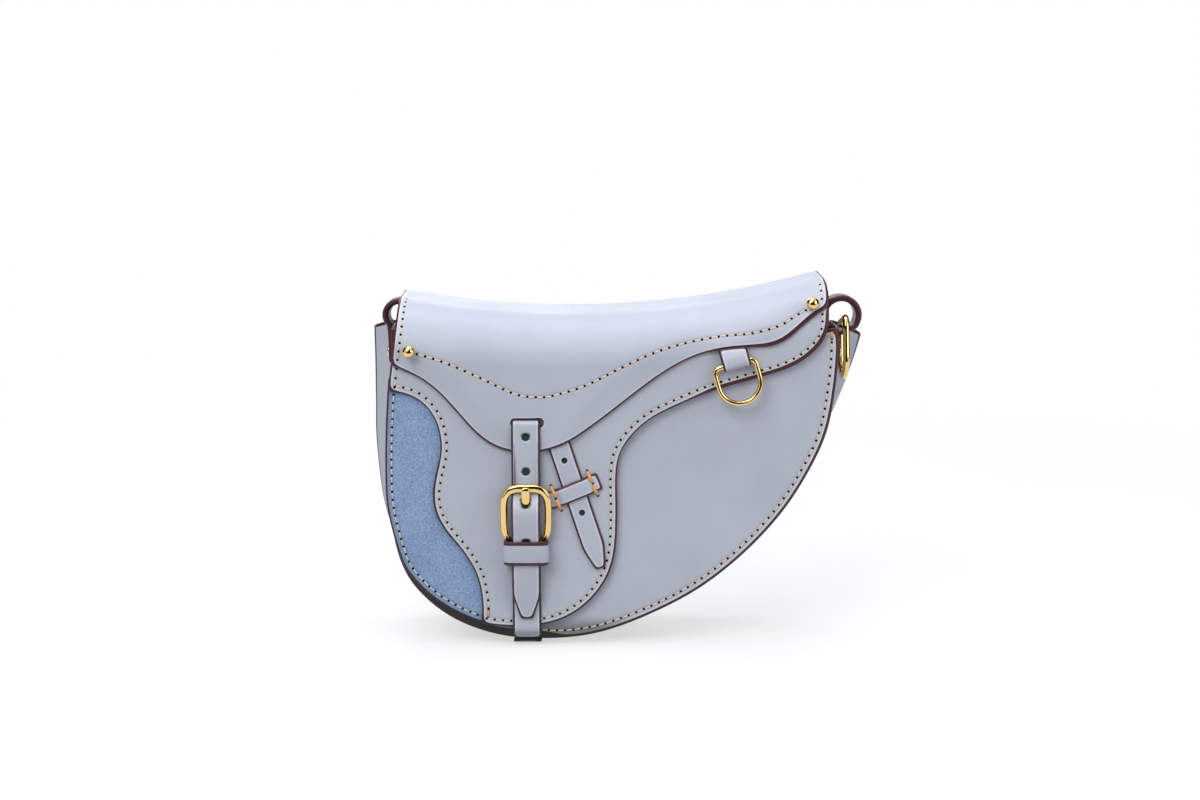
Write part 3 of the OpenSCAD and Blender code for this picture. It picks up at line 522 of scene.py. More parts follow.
def walled(outer, inner, name, materials, wrap=False, painted=0):
    """A wall between two grids of points, closed along its open borders by a half round of the
    wall's own thickness. With wrap, the rows join up and only the columns' ends are open.
    painted counts the columns at each end of the outer face that take the edge's paint."""
    rows, columns = outer.shape[:2]
    ids = np.arange(rows * columns).reshape(rows, columns)
    a, b = outer.reshape(-1, 3), inner.reshape(-1, 3)
    points = [a, b]
    faces = [grid_faces(rows, columns, wrap, start=start) for start in (0, ids.size)]
    column = np.arange(len(faces[0])) % (columns - 1)
    slots = [(column < painted) | (column >= columns - 1 - painted), np.full(len(faces[1]), 2)]
    if wrap:
        borders = [(ids[:, 0], ids[:, 1]), (ids[::-1, -1], ids[::-1, -2])]
    else:
        ring = np.concatenate((ids[0, :-1], ids[:-1, -1], ids[-1, :0:-1], ids[:0:-1, 0]))
        row = np.clip(ring // columns, 1, rows - 2)
        borders = [(ring, ids[row, np.clip(ring % columns, 1, columns - 2)])]
    for edge, next_in in borders:
        push = a[edge] - a[next_in]
        push /= np.linalg.norm(push, axis=1)[:, None]
        middle, half = (a[edge] + b[edge]) / 2, (a[edge] - b[edge]) / 2
        size = np.linalg.norm(half, axis=1)[:, None]
        last = edge
        for turn in (*np.radians((65, 40, 15, -15, -40, -65)), None):
            new = edge + ids.size
            if turn is not None:
                new = sum(map(len, points)) + np.arange(len(edge))
                points.append(middle + half * np.sin(turn) + push * size * np.cos(turn))
            faces.append(ring_faces(last, new))
            slots.append(np.ones(len(edge)))
            last = new
    points = np.vstack(points)
    far = np.full(len(points), FAR)
    return add_piece(name, points, faces, materials, slots, {"rim": far, "seam": far})


def oval(wide, tall, power=2.0, count=20):
    """Section of a bar as a closed curve: half-sizes times the cosine and sine of the angle,
    each raised to 2 / power, so that a higher power makes it squarer."""
    unit = around(count)
    return (wide, tall) * np.sign(unit) * np.abs(unit) ** (2 / power)


def sweep(path, side, sections, closed=True):
    """Points of a bar: at each point of the path its section's first number runs along side
    and its second along the normal, which is square to side and to the path."""
    step = np.roll(path, -1, 0) - np.roll(path, 1, 0) if closed else np.gradient(path, axis=0)
    step = step / np.linalg.norm(step, axis=1)[:, None]
    normal = np.cross(step, side)
    normal /= np.linalg.norm(normal, axis=1)[:, None]
    side = np.cross(normal, step)
    return (path[:, None] + sections[..., 0, None] * side[:, None]
            + sections[..., 1, None] * normal[:, None])


def bar_faces(rows, columns, closed=True, start=0):
    """Faces of a bar, with a cap at each end of an open one."""
    faces = [grid_faces(rows, columns, closed, True, start)]
    if not closed:
        ring = np.arange(columns) + start
        faces += [ring[None, ::-1], ring[None] + (rows - 1) * columns]
    return faces


def brass(node, body, points, closed=True):
    """A bent or turned brass piece that stands for a node, from the rings of its points."""
    settle(add_piece(f"{node}_brass", points.reshape(-1, 3),
                     bar_faces(*points.shape[:2], closed), ["polished_brass"]),
           body, "brass", node)


def lathe(profile, origin, axis, count):
    """Points of a profile of (radius, distance along the axis) turned about an axis through
    origin."""
    axis = axis / np.linalg.norm(axis)
    across = np.cross(axis, (0.3, 0.5, 0.81))
    across /= np.linalg.norm(across)
    c, s = around(count).T
    ring = c[:, None] * across + s[:, None] * np.cross(axis, across)
    r, h = profile.T[..., None, None]
    return origin + h * axis + r * ring[None]


def hole_floors(name, spots, disc, place, height):
    """Dark discs over the layer under a strap's holes: painted shade, standing in for the shade
    seen through each hole.
    """
    points = np.vstack([disc + spot for spot in spots])
    faces = [np.arange(len(points)).reshape(-1, len(disc))]
    settle(add_piece(name, place(points, height + 0 * points[:, 0]), faces, ["hole_wall"]),
           "flap", "leather")


def stitches(name, line, layer, accent=None, slant=0.0):
    """A row of sewn stitches along a flat line, each a thread that rises between two needle
    holes as one less the fourth power of the way from its middle, with a dark hole between.
    layer gives what carries the line, how high its face lies and its body. accent gives the
    pitch and the thickness of a thick decorative thread."""
    size = bpy.context.scene.bag_sizes
    place, lift, body = layer
    pitch, thick = accent or (size.stitch_pitch, size.thread_thickness)
    length = pitch if accent else size.stitch_length
    line = evenly(line, 0.3 * MM)
    whole = run_of(line)[-1]
    count = max(1, int(round(whole / pitch)))
    station = np.array((-1, -0.86, -0.55, 0, 0.55, 0.86, 1))
    s = ((np.arange(count) + 0.5) * whole / count)[:, None] + station * length / 2
    push = np.tile(station, count) * length / 2 * slant
    flat = at_run(line, s.ravel()) + at_run(line, s.ravel(), left_of(line)) * push[:, None]
    height = lift + thick * np.tile(0.34 - 0.6 * station ** 4, count)
    core = place(flat, height)
    above = (place(flat, height + 0.2 * MM) - core) / (0.2 * MM)
    core, above = core.reshape(count, -1, 3), above.reshape(count, -1, 3)
    across = np.cross(above, np.gradient(core, axis=1))
    across /= np.linalg.norm(across, axis=2)[..., None]
    c, s = around(ROUND).T[..., None]
    wide = (thick / 2 * (1 - 0.45 * station ** 4))[:, None, None]
    ring = core[:, :, None] + wide * (c * across[:, :, None] + 0.8 * s * above[:, :, None])
    each = len(station) * ROUND
    base = np.arange(count)[:, None, None] * each
    tube = (grid_faces(len(station), ROUND, False, True)[None] + base).reshape(-1, 4)
    cap = np.arange(ROUND) + base[:, 0]
    caps = np.concatenate((cap[:, ::-1], cap + each - ROUND))
    spot = at_run(line, np.arange(count + 1) * whole / count)
    dots = spot[:, None] + around(8, size.hole_dot / 2)
    dots = place(dots.reshape(-1, 2), np.full(dots[..., 0].size, lift + 0.02 * MM))
    holes = np.arange(len(dots)).reshape(-1, 8) + count * each
    slots = [np.zeros(len(tube) + len(caps)), np.ones(len(holes))]
    settle(add_piece(name, np.vstack((ring.reshape(-1, 3), dots)), [tube, caps, holes],
                     ["accent_thread" if accent else "sewing_thread", "needle_hole"], slots),
           body, "thread")


# Materials


class Net:
    """A node tree, with a short call for each kind of node that the surfaces share."""

    def __init__(self, tree, clear=False):
        self.tree = tree
        if clear:
            tree.nodes.clear()

    def add(self, kind, inputs=None, **settings):
        """Adds a node, sets it and links or sets its inputs."""
        made = self.tree.nodes.new("ShaderNode" + kind)
        for key, value in settings.items():
            setattr(made, key, value)
        for key, value in (inputs or {}).items():
            if isinstance(value, bpy.types.NodeSocket):
                self.tree.links.new(value, made.inputs[key])
            else:
                made.inputs[key].default_value = value
        return made

    def ramp(self, value, low, high, start=0.0, end=1.0, kind="SMOOTHSTEP"):
        """A value carried from one range to another."""
        return self.add("MapRange", {"Value": value, "From Min": low, "From Max": high,
                                     "To Min": start, "To Max": end},
                        interpolation_type=kind).outputs[0]

    def join(self, how, *values):
        """Values joined by one kind of sum."""
        total = values[0]
        for value in values[1:]:
            total = self.add("Math", {0: total, 1: value}, operation=how).outputs[0]
        return total

    def plus(self, *values):
        """The sum of values."""
        return self.join("ADD", *values)

    def times(self, *values):
        """The product of values."""
        return self.join("MULTIPLY", *values)

    def mix(self, share, a, b):
        """A colour between two."""
        return self.add("Mix", {0: share, 6: a, 7: b}, data_type="RGBA").outputs[2]

    def blend(self, share, a, b):
        """A surface between two."""
        return self.add("MixShader", {0: share, 1: a.outputs[0], 2: b.outputs[0]})

    def noise(self, where, scale, detail=3.0, rough=0.5):
        """Noise at a number of features to the metre."""
        return self.add("TexNoise", {"Vector": where, "Scale": scale, "Detail": detail,
                                     "Roughness": rough}).outputs[0]

    def where(self):
        """Places on the object."""
        return self.add("TexCoord").outputs["Object"]

    def level(self, where):
        """Height above the floor."""
        return self.add("SeparateXYZ", {"Vector": where}).outputs["Z"]

    def bump(self, height, strength=1.0):
        """A normal from a height in millimetres."""
        return self.add("Bump", {"Strength": strength, "Distance": MM,
                                 "Height": height}).outputs[0]

    def furrow(self, seam, reach):
        """How deep the leather is drawn in by a seam, which counts from both of its sides."""
        return self.ramp(self.join("ABSOLUTE", seam, 0), 0.1, reach, 1, 0)


class Group(Net):
    """A node group whose inputs are at hand as given, and whose results are linked last."""

    def __init__(self, name, inputs):
        super().__init__(bpy.data.node_groups.new(name, "ShaderNodeTree"))
        for label in inputs.split():
            self.socket(label, "INPUT")
        self.given = self.tree.nodes.new("NodeGroupInput").outputs

    def socket(self, label, way):
        """Adds a named input or output."""
        kind = {"Colour": "Color", "Shade": "Color", "Normal": "Vector"}.get(label, "Float")
        self.tree.interface.new_socket(name=label, in_out=way, socket_type="NodeSocket" + kind)

    def results(self, **values):
        """Links the outputs and gives the finished group."""
        for label in values:
            self.socket(label, "OUTPUT")
        out = self.tree.nodes.new("NodeGroupOutput")
        for label, value in values.items():
            self.tree.links.new(value, out.inputs[label])
        return self.tree


def leather_group():
    """Smooth dyed leather: fine pores, soft creases, a painted highlight beside the painted
    edges where the rolled edge catches the light, a furrow along each sewn seam and painted
    shade that darkens it below a height near the floor. Rim and Seam are distances in
    millimetres, the height of the painted shade is in metres."""
    net = Group("smooth_hide", "Colour Shade Rim Seam Pores Soil")
    given, where = net.given, net.where()
    # Painted shade: below the given height the leather darkens to a dark brown, standing in for
    # the shade under the flap and along the base
    low_shade = net.ramp(net.level(where), net.times(given["Soil"], 0.45), given["Soil"], 0.72, 0)
    cloud, grain = net.noise(where, 22, 3, 0.55), net.noise(where, 900, 4, 0.6)
    pores = net.add("TexVoronoi", {"Vector": where, "Scale": 1900}, feature="F1")
    furrow = net.furrow(given["Seam"], 1.9)
    tone = net.plus(net.ramp(cloud, 0.3, 0.75, 0, 0.30), net.times(furrow, 0.22),
                    net.ramp(grain, 0.35, 0.7, 0, 0.10))
    # Painted highlight: a pale lavender line just beside each painted edge, where the rolled edge
    # catches the light
    hide = net.mix(net.ramp(given["Rim"], 0.15, 1.0, 0.3, 0),
                   net.mix(tone, given["Colour"], given["Shade"]), (0.80, 0.81, 0.86, 1))
    height = net.plus(net.times(net.noise(where, 30, 2, 0.4), 0.75), net.times(furrow, -0.24),
                      net.ramp(given["Rim"], 0.0, 1.2, -0.14, 0),
                      net.times(grain, given["Pores"], 0.035),
                      net.times(pores.outputs["Distance"], given["Pores"], 0.02))
    return net.results(Colour=net.mix(low_shade, hide, (0.050, 0.034, 0.030, 1)),
                       Roughness=net.plus(net.ramp(cloud, 0.3, 0.8, 0.42, 0.52),
                                          net.ramp(grain, 0.3, 0.7, -0.03, 0.05)),
                       Normal=net.bump(height))


def nap_group():
    """Brushed nap: short fibres that lie in drifting directions over a soft mottle."""
    net = Group("brushed_nap", "Colour Shade Seam Rim")
    given, where = net.given, net.where()
    drift, fibre = net.noise(where, 60, 4, 0.65), net.noise(where, 1500, 5, 0.8)
    tuft, furrow = net.noise(where, 850, 3, 0.6), net.furrow(given["Seam"], 2.0)
    edge = net.ramp(given["Rim"], 0.0, 1.2, 1, 0)
    tone = net.plus(net.ramp(drift, 0.33, 0.67, 0, 0.20), net.ramp(fibre, 0.42, 0.58, 0, 0.48),
                    net.ramp(tuft, 0.4, 0.6, 0, 0.40), net.times(furrow, 0.2),
                    net.times(edge, 0.3))
    height = net.plus(net.times(fibre, 0.16), net.times(tuft, 0.14), net.times(drift, 0.6),
                      net.times(furrow, -0.25))
    return net.results(Colour=net.mix(tone, given["Colour"], given["Shade"]),
                       Normal=net.bump(height, 0.9))


def wear_group():
    """Faint dust of fine scratches and a soft unevenness for polished and painted surfaces."""
    net = Group("fine_wear", "Colour Shade Smooth Rough Depth")
    given, where = net.given, net.where()
    patch = net.noise(where, 160, 3, 0.6)
    stretch = net.add("Mapping", {"Vector": where, "Scale": (1, 1, 0.12),
                                  "Rotation": (0.3, 0.7, 0)}).outputs[0]
    scratch = net.noise(stretch, 2600, 2, 0.7)
    share = net.plus(net.ramp(patch, 0.3, 0.75, 0, 0.6), net.ramp(scratch, 0.45, 0.75, 0, 0.4))
    height = net.times(net.plus(net.times(scratch, 0.3), patch), given["Depth"])
    return net.results(Colour=net.mix(share, given["Colour"], given["Shade"]),
                       Roughness=net.ramp(share, 0, 1, given["Smooth"], given["Rough"],
                                          "LINEAR"),
                       Normal=net.bump(height))


def finish_of(name, group, colour, shade, masks=(), **values):
    """A material whose surface comes from a group. shade is a colour or a share of the first
    one. Each other value goes to the group's input of its name, or else to the surface's."""
    if np.isscalar(shade):
        shade = [c * shade for c in colour]
    material = bpy.data.materials.new(name)
    material.use_nodes = True
    net = Net(material.node_tree)
    surface = net.tree.nodes["Principled BSDF"].inputs
    made = net.add("Group", node_tree=group)
    for key, value in dict(values, Colour=(*colour, 1.0), Shade=(*shade, 1.0)).items():
        key = key.replace("_", " ")
        (made.inputs if key in made.inputs else surface)[key].default_value = value
    for key in masks:
        mask = net.add("Attribute", attribute_name=key.lower())
        net.tree.links.new(mask.outputs["Fac"], made.inputs[key])
    for ours, theirs in {"Colour": "Base Color", "Roughness": "Roughness",
                         "Normal": "Normal"}.items():
        if ours in made.outputs:
            net.tree.links.new(made.outputs[ours], surface[theirs])
    return net


def _length(label, words, value):
    return bpy.props.FloatProperty(name=label, description=words, default=value * MM, min=0.0,
                                   unit="LENGTH", precision=5)


def _colour(label, words, *value):
    return bpy.props.FloatVectorProperty(name=label, description=words, default=value, size=3,
                                         min=0.0, max=1.0, subtype="COLOR")


class BagSizes(bpy.types.PropertyGroup):
    """Sizes of the leather work and of the brass, in metres."""

    skirt_thickness: _length("Skirt", "Thickness of the flap's lower layer", 2.0)
    yoke_thickness: _length("Yoke", "Thickness of the flap's upper layer", 2.0)
    suede_thickness: _length("Suede", "Thickness of the suede inset", 1.4)
    panel_thickness: _length("Panels", "Thickness of the front and back panels", 2.0)
    gusset_thickness: _length("Gusset", "Thickness of the gusset", 1.6)
    gusset_swell: _length("Gusset swell", "How far the gusset swells outwards", 1.5)
    seam_inset: _length("Seam inset", "Distance from a cut edge to its stitches", 3.4)
    stitch_pitch: _length("Stitch pitch", "Distance from stitch to stitch", 4.35)
    stitch_length: _length("Stitch length", "Length of a stitch between its needle holes", 3.25)
    thread_thickness: _length("Thread", "Thickness of the sewing thread", 0.62)
    hole_dot: _length("Needle hole", "Diameter of a needle hole", 1.45)
    accent_thread: _length("Accent thread", "Thickness of the thick decorative thread", 1.75)
    strap_width: _length("Strap", "Width of the buckled strap", 15.0)
    billet_thickness: _length("Holed strap", "Thickness of the holed strap", 1.6)
    chape_thickness: _length("Lower strap", "Thickness of the strap that holds the buckle", 1.4)
    hole_diameter: _length("Strap holes", "Diameter of the strap's holes", 3.7)
    keeper_thickness: _length("Keeper leather", "Thickness of the keeper loop", 1.9)
    buckle_wire: _length("Buckle bar", "Thickness of the buckle's side bars", 3.2)
    prong_width: _length("Prong", "Width of the buckle's prong", 4.4)
    ring_wire: _length("Front ring", "Thickness of the front ring", 2.7)
    side_wire: _length("Side rings", "Thickness of the side rings", 3.6)
    tab_width: _length("Side tabs", "Width of the side tabs", 13.0)
    stud_diameter: _length("Studs", "Diameter of the ball studs", 6.6)


class BagColours(bpy.types.PropertyGroup):
    """Colours of the bag's materials, linear."""

    leather: _colour("Leather", "Colour of the smooth leather", 0.484, 0.509, 0.589)
    leather_shade: _colour("Leather shade", "Leather in pores and beside edges",
                           0.368, 0.386, 0.448)
    suede: _colour("Suede", "Colour of the raised nap", 0.350, 0.475, 0.700)
    suede_shade: _colour("Suede shade", "Suede between its fibres", 0.160, 0.235, 0.400)
    edge_paint: _colour("Edge paint", "Colour of the painted edges", 0.045, 0.010, 0.016)
    tab_leather: _colour("Tab leather", "Colour of the side tabs", 0.105, 0.018, 0.030)
    lining: _colour("Lining", "Colour of the leather's inner side", 0.430, 0.400, 0.370)
    thread: _colour("Thread", "Colour of the sewing thread", 0.860, 0.720, 0.470)
    accent: _colour("Accent thread", "Colour of the decorative thread", 0.800, 0.400, 0.120)
    brass: _colour("Brass", "Colour of the polished metal", 0.810, 0.560, 0.225)


# Shapes of the flap


def flap_sides():
    """The flap's right and left edges below the crest, laid flat."""
    crest = (TURN - SHOULDER) * 1.0002
    for points in (SKIRT_RIGHT[1:], FLAP_LEFT[:-1]):
        side = spline(table(points))
        yield unroll(side[np.linalg.norm(side - DIP, axis=1) > crest])


def over_top(left, right, reach, flare=(1.0, 1.0)):
    """The edge over the top from the left side to the right side, an arc about the dip's
    centre at a distance past the turn line. flare widens the angle to either side."""
    angles = [np.arctan2(p[0] - DIP[0], DIP[1] - p[1]) * k for p, k in zip((left, right), flare)]
    turn = np.linspace(*angles, 60)
    return DIP + (TURN - reach) * np.column_stack((np.sin(turn), -np.cos(turn)))


def yoke_line():
    """The yoke's lower edge, from the flap's left edge to its right edge."""
    line = spline(table(YOKE_EDGE))
    left, right = spline(table(FLAP_LEFT)), spline(table(SKIRT_RIGHT[:4]))[::-1]
    low, high = (np.interp(line[:, 1], side[:, 1], side[:, 0]) for side in (left, right))
    return line[(line[:, 0] > low) & (line[:, 0] < high)]


# Where strap ends are sewn under the yoke: places across and half-widths
TUCKS = ((-30.5 * MM, 10 * MM), (57.3 * MM, 11 * MM))
YOKE_LINE = unroll(yoke_line())


def yoke_drop(flat):
    """How far the yoke's lower border settles back onto the skirt: most at its edge, none
    beyond 14 mm from it or over the ends of the straps that are sewn under it."""
    share = ease(1 - np.abs(nearest(flat, YOKE_LINE, False)) / (14 * MM))
    for x, half in TUCKS:
        share = share * (1 - np.exp(-((flat[:, 0] - x) / half) ** 4))
    return share * 1.28 * MM


on_yoke = on_flap(YOKE_OFF, yoke_drop)
on_skirt = on_flap(SKIRT_OFF)


def seam_beside(inset_by):
    """The distance from a sewn line that lies inset_by from the cut edge."""
    return lambda flat, rim: rim - inset_by


def wide_wing(loop, start):
    """Width of the painted edge at each point of a layer of the flap: twice as much along the
    right wing, between two smooth steps across the front, as elsewhere."""
    x, z = loop.T / MM
    grow = np.clip((x - start) / 20, 0, 1) * np.clip((112 - x) / 6, 0, 1) * (z < 180)
    return (1.15 + 1.15 * ease(grow)) * MM


def base_border(loop):
    """Width of the front panel's painted edge at each point: it grows along a smooth step
    towards the left of the base, where the dark border is broadest. The widened border is
    partly real edge paint and partly painted shade, for the shade that falls along the base."""
    x, z = loop.T / MM
    return (1.7 + 3.0 * ease(np.clip((62 - z) / 34, 0, 1) * np.clip((-26 - x) / 14, 0, 1))) * MM


def brim(radius, start, stop):
    """A panel's top edge from one place across to another, an arc about the dip's centre."""
    x = np.linspace(start, stop, 80)
    return np.column_stack((x, DIP[1] - np.sqrt(radius ** 2 - (x - DIP[0]) ** 2)))


LEATHER, BODY, STRAP = ([face, "painted_edge", "lining_leather", "hole_wall"]
                        for face in ("smooth_leather", "body_leather", "strap_leather"))


class BAG_OT_materials(bpy.types.Operator):
    """Make the leather, suede, paint, thread and brass"""

    bl_idname = "bag.materials"
    bl_label = "Materials"

    def execute(self, context):
        tint = context.scene.bag_colours
        hide, nap, wear = leather_group(), nap_group(), wear_group()
        masks = "Rim", "Seam"
        # The last number is the height up to which each leather takes painted shade near the
        # floor; the panels and gusset take the most, for the shade under the flap
        for name, pores, low_shade in (("smooth_leather", 1.0, 3 * MM), ("body_leather", 1.0, 17 * MM),
                                  ("strap_leather", 1.4, 4.2 * MM)):
            finish_of(name, hide, tint.leather, tint.leather_shade, masks, Pores=pores, Soil=low_shade,
                      Specular_IOR_Level=0.4, Coat_Weight=0.08, Coat_Roughness=0.3)
        finish_of("lining_leather", hide, tint.lining, 0.72, Pores=2.5, Rim=FAR, Seam=FAR,
                  Specular_IOR_Level=0.25)
        finish_of("tab_leather", hide, tint.tab_leather, 0.5, masks, Pores=1.2,
                  Specular_IOR_Level=0.5, Coat_Weight=0.3, Coat_Roughness=0.2)
        finish_of("suede_nap", nap, tint.suede, tint.suede_shade, masks, Roughness=0.95,
                  Specular_IOR_Level=0.15, Sheen_Weight=0.45, Sheen_Roughness=0.45,
                  Sheen_Tint=(0.75, 0.84, 1.0, 1.0))
        for name, colour, smooth, rough in (("sewing_thread", (tint.thread, 0.8), 0.6, 0.8),
                                            ("accent_thread", (tint.accent, 0.7), 0.55, 0.75)):
            finish_of(name, wear, *colour, Smooth=smooth, Rough=rough, Depth=0.12,
                      Specular_IOR_Level=0.3, Sheen_Weight=0.3)
        finish_of("needle_hole", wear, (0.004, 0.004, 0.005), (0.010, 0.008, 0.009), Smooth=0.8,
                  Rough=0.9, Depth=0.02, Specular_IOR_Level=0.1)
        # Painted shade: the dark green-black of the holes' walls and of the discs under them
        # stands in for the shade inside a strap's holes
        finish_of("hole_wall", wear, (0.030, 0.052, 0.047), (0.050, 0.085, 0.076), Smooth=0.35,
                  Rough=0.5, Depth=0.03, Specular_IOR_Level=0.3)
        finish_of("polished_brass", wear, tint.brass, 0.93, Smooth=0.03, Rough=0.07, Depth=0.005,
                  Metallic=1.0)
        paint = finish_of("painted_edge", wear, tint.edge_paint, 1.6, Smooth=0.36, Rough=0.5,
                          Depth=0.03, Specular_IOR_Level=0.4)
        # Painted shade: the edge paint darkens to near black from 55 mm down to 4 mm above the
        # floor, standing in for the shade along the base
        base = paint.tree.nodes["Principled BSDF"].inputs["Base Color"]
        above_shade = paint.ramp(paint.level(paint.where()), 4 * MM, 55 * MM)
        paint.tree.links.new(paint.mix(above_shade, (0.006, 0.004, 0.005, 1), base.links[0].from_socket),
                             base)
        return {"FINISHED"}


class BAG_OT_flap(bpy.types.Operator):
    """Lay the skirt, the suede inset and the yoke over the front and the top"""

    bl_idname = "bag.flap"
    bl_label = "Flap"

    def execute(self, context):
        size = context.scene.bag_sizes
        right, left = flap_sides()
        cut = spline(table(CUT_OUT))
        reach = SHOULDER * QUARTER
        top = over_top(left[-1], right[0], reach + 0.6 * MM)
        skirt = outline(right, cut[1:], left[1:], top, soft=4)
        sewn = seam_beside(size.seam_inset)
        leather("flap_skirt", "flap", [skirt], on_skirt, size.skirt_thickness, LEATHER,
                radius=wide_wing(skirt, 35), seam=sewn)
        suede = outline(spline(table(SUEDE_OUTER)), spline(table(SUEDE_INNER)))
        settle(sheet("suede_inset", [suede], on_flap(SUEDE_OFF), size.suede_thickness,
                     ["suede_nap", "painted_edge", "lining_leather"], gap=1.3 * MM,
                     seam=sewn), "flap", "suede", "suede_panel")
        up_right, up_left = (between(side, YOKE_LINE[end, 1] / MM + 0.6)[::-1]
                             for side, end in ((right, -1), (left, 0)))
        top = over_top(up_left[0], up_right[-1], reach + BACK - TURN_Y - LAY, (1.024, 1.015))
        yoke = outline(YOKE_LINE, up_right, top[::-1], up_left, soft=4)
        # The slot that the holed strap comes out of, with a swollen end on its right
        low, high = node_box("billet_strap")[:, 0] + (0.1 * MM, 1.7 * MM)
        foot, tall, swell = 119.4 * MM, 3.4 * MM, 0.6 * MM
        a, b, c = high - np.array((3.6, 1.8, 0.5)) * MM
        slot = pairs(low, foot, low, foot + tall, a, foot + tall, b, foot + tall + swell,
                    c, foot + tall, high, foot + tall / 2, c, foot, b, foot - swell, a, foot)
        slot = outline(slot, gap=0.45 * MM, soft=4)[::-1]
        seam_line = evenly(unroll(spline(table(YOKE_SEAM))), 1.2 * MM)
        piece = sheet("yoke_leather", [yoke, slot], on_yoke, size.yoke_thickness, LEATHER,
                      radius=wide_wing(yoke, 60), hole_radius=0.75 * MM, lines=[seam_line],
                      seam=lambda flat, rim: np.abs(nearest(flat, seam_line, False)))
        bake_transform(piece)
        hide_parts("yoke")
        return {"FINISHED"}


class BAG_OT_body(bpy.types.Operator):
    """Make the front panel, the back panel and the gusset between them"""

    bl_idname = "bag.body"
    bl_label = "Body"

    def execute(self, context):
        size = context.scene.bag_sizes
        thick = size.panel_thickness
        edge = spline(table(FRONT_EDGE))
        top = brim(FRONT_BRIM, edge[-1, 0], edge[0, 0])
        low = max(min(top[0, 1], top[-1, 1]) / MM - 1, 160)
        front = outline(between(edge, high=low), top, soft=25)
        leather("front_panel", "bag", [front], on_plane(FRONT + thick), thick, BODY,
                radius=base_border(front), seam=seam_beside(4 * MM))
        right, left = spline(table(BACK_NECK_RIGHT)), spline(table(BACK_NECK_LEFT))
        top = brim(BACK_BRIM, right[-1, 0], left[0, 0])
        right, left = (between(neck, high=top[end, 1] / MM - 0.5)
                       for neck, end in ((right, 0), (left, -1)))
        back = outline(spline(table(BACK_EDGE)), right, top, left, soft=8)
        leather("back_panel", "bag", [back], on_plane(BACK - thick, 1), thick, BODY,
                radius=1.5 * MM, seam=seam_beside(BACK_SEAM))
        settle(walled(*self.gusset(size), "gusset_leather", BODY, painted=6),
               "bag", "leather", "gusset")
        return {"FINISHED"}

    @staticmethod
    def gusset(size):
        """Outer and inner faces of the gusset. Across its depth v it swells as one less v
        squared, and past v = 0.4 it widens to the back outline along a smooth step. Its edges
        turn in behind the panels round a small corner."""
        f, b = spline(table(FRONT_EDGE), 7), spline(table(BACK_EDGE), 7)
        f = evenly(f, 3 * MM)
        b = at_run(b, np.interp(np.linspace(0, 1, len(f)), np.linspace(0, 1, len(b)), run_of(b)))
        depth = BACK - FRONT - 2 * PANEL
        corner = pairs(8, 0, 1.6, 0, 0.8, 0.1, 0.25, 0.4, 0.04, 0.95) * MM
        y = np.concatenate((corner[:, 1], np.linspace(1.8 * MM, depth - 1.8 * MM, 41),
                            depth - corner[::-1, 1]))
        away = np.concatenate((corner[:, 0], np.zeros(41), corner[::-1, 0]))
        for lift in (0.0, size.gusset_thickness):
            level = y + np.clip(depth / 2 - y, -lift, lift)
            v = np.clip(level / depth * 2 - 1, -1, 1)
            flare = ease((v - 0.4) / 0.6)[None, :, None]
            base = f[:, None] + (b - f)[:, None] * flare
            out = -left_of(f)[:, None] * (1 - flare) - left_of(b)[:, None] * flare
            far = size.gusset_swell * (1 - v ** 2) - np.maximum(away, lift)
            spot = base + out * far[None, :, None]
            yield np.insert(spot, 1, FRONT + PANEL + level, axis=2)


class BAG_OT_seams(bpy.types.Operator):
    """Sew the rows of stitches beside the edges and across the yoke"""

    bl_idname = "bag.seams"
    bl_label = "Seams"

    def execute(self, context):
        size = context.scene.bag_sizes
        by, thick = size.seam_inset, size.panel_thickness
        yoke = on_yoke, size.yoke_thickness, "flap"
        skirt = on_skirt, size.skirt_thickness, "flap"
        suede = on_flap(SUEDE_OFF), size.suede_thickness, "flap"
        front = on_plane(FRONT + thick), thick, "bag"
        back = on_plane(BACK - thick, 1), thick, "bag"
        bar = 4 * MM, 1.3 * MM
        right, left = (beside(side, -by) for side in flap_sides())
        cut = beside(spline(table(CUT_OUT)), -by)
        inlay = beside(spline(table(SUEDE_OUTER)), by)
        edge = spline(table(FRONT_EDGE))
        edge = beside(edge, np.interp(edge[:, 0], np.array((-62, -30, 40)) * MM,
                                      np.array((7, 4.3, 3.9)) * MM))
        far = beside(spline(table(BACK_EDGE)), BACK_SEAM)
        low_l, low_r = YOKE_LINE[[0, -1], 1] / MM
        reach = np.where(edge[:, 0] > 0, 163 * MM, 155 * MM)
        across = evenly(unroll(spline(table(YOKE_SEAM))), 0.5 * MM)
        stitches("yoke_seam", across[8:-8], yoke)
        stitches("yoke_left_seam", between(left, low_l + 2), yoke)
        stitches("skirt_left_seam", between(left, 139, low_l - 1.5), skirt)
        stitches("cut_out_seam", between(cut[cut[:, 0] > -116.5 * MM], 20.6), skirt)
        stitches("cut_out_bar", between(cut, 15.9, 20.7), skirt, bar)
        stitches("suede_seam", between(inlay[inlay[:, 0] < -73 * MM], high=136.5), suede)
        stitches("skirt_seam", between(right, high=low_r - 2)[:-2], skirt)
        stitches("yoke_right_seam", between(right, low_r + 3), yoke)
        stitches("front_panel_seam", edge[edge[:, 1] < reach], front, slant=0.12)
        stitches("front_panel_bar", between(edge[edge[:, 0] > 0], 162.5), front, bar)
        stitches("back_panel_seam", between(far, high=152), back)
        return {"FINISHED"}


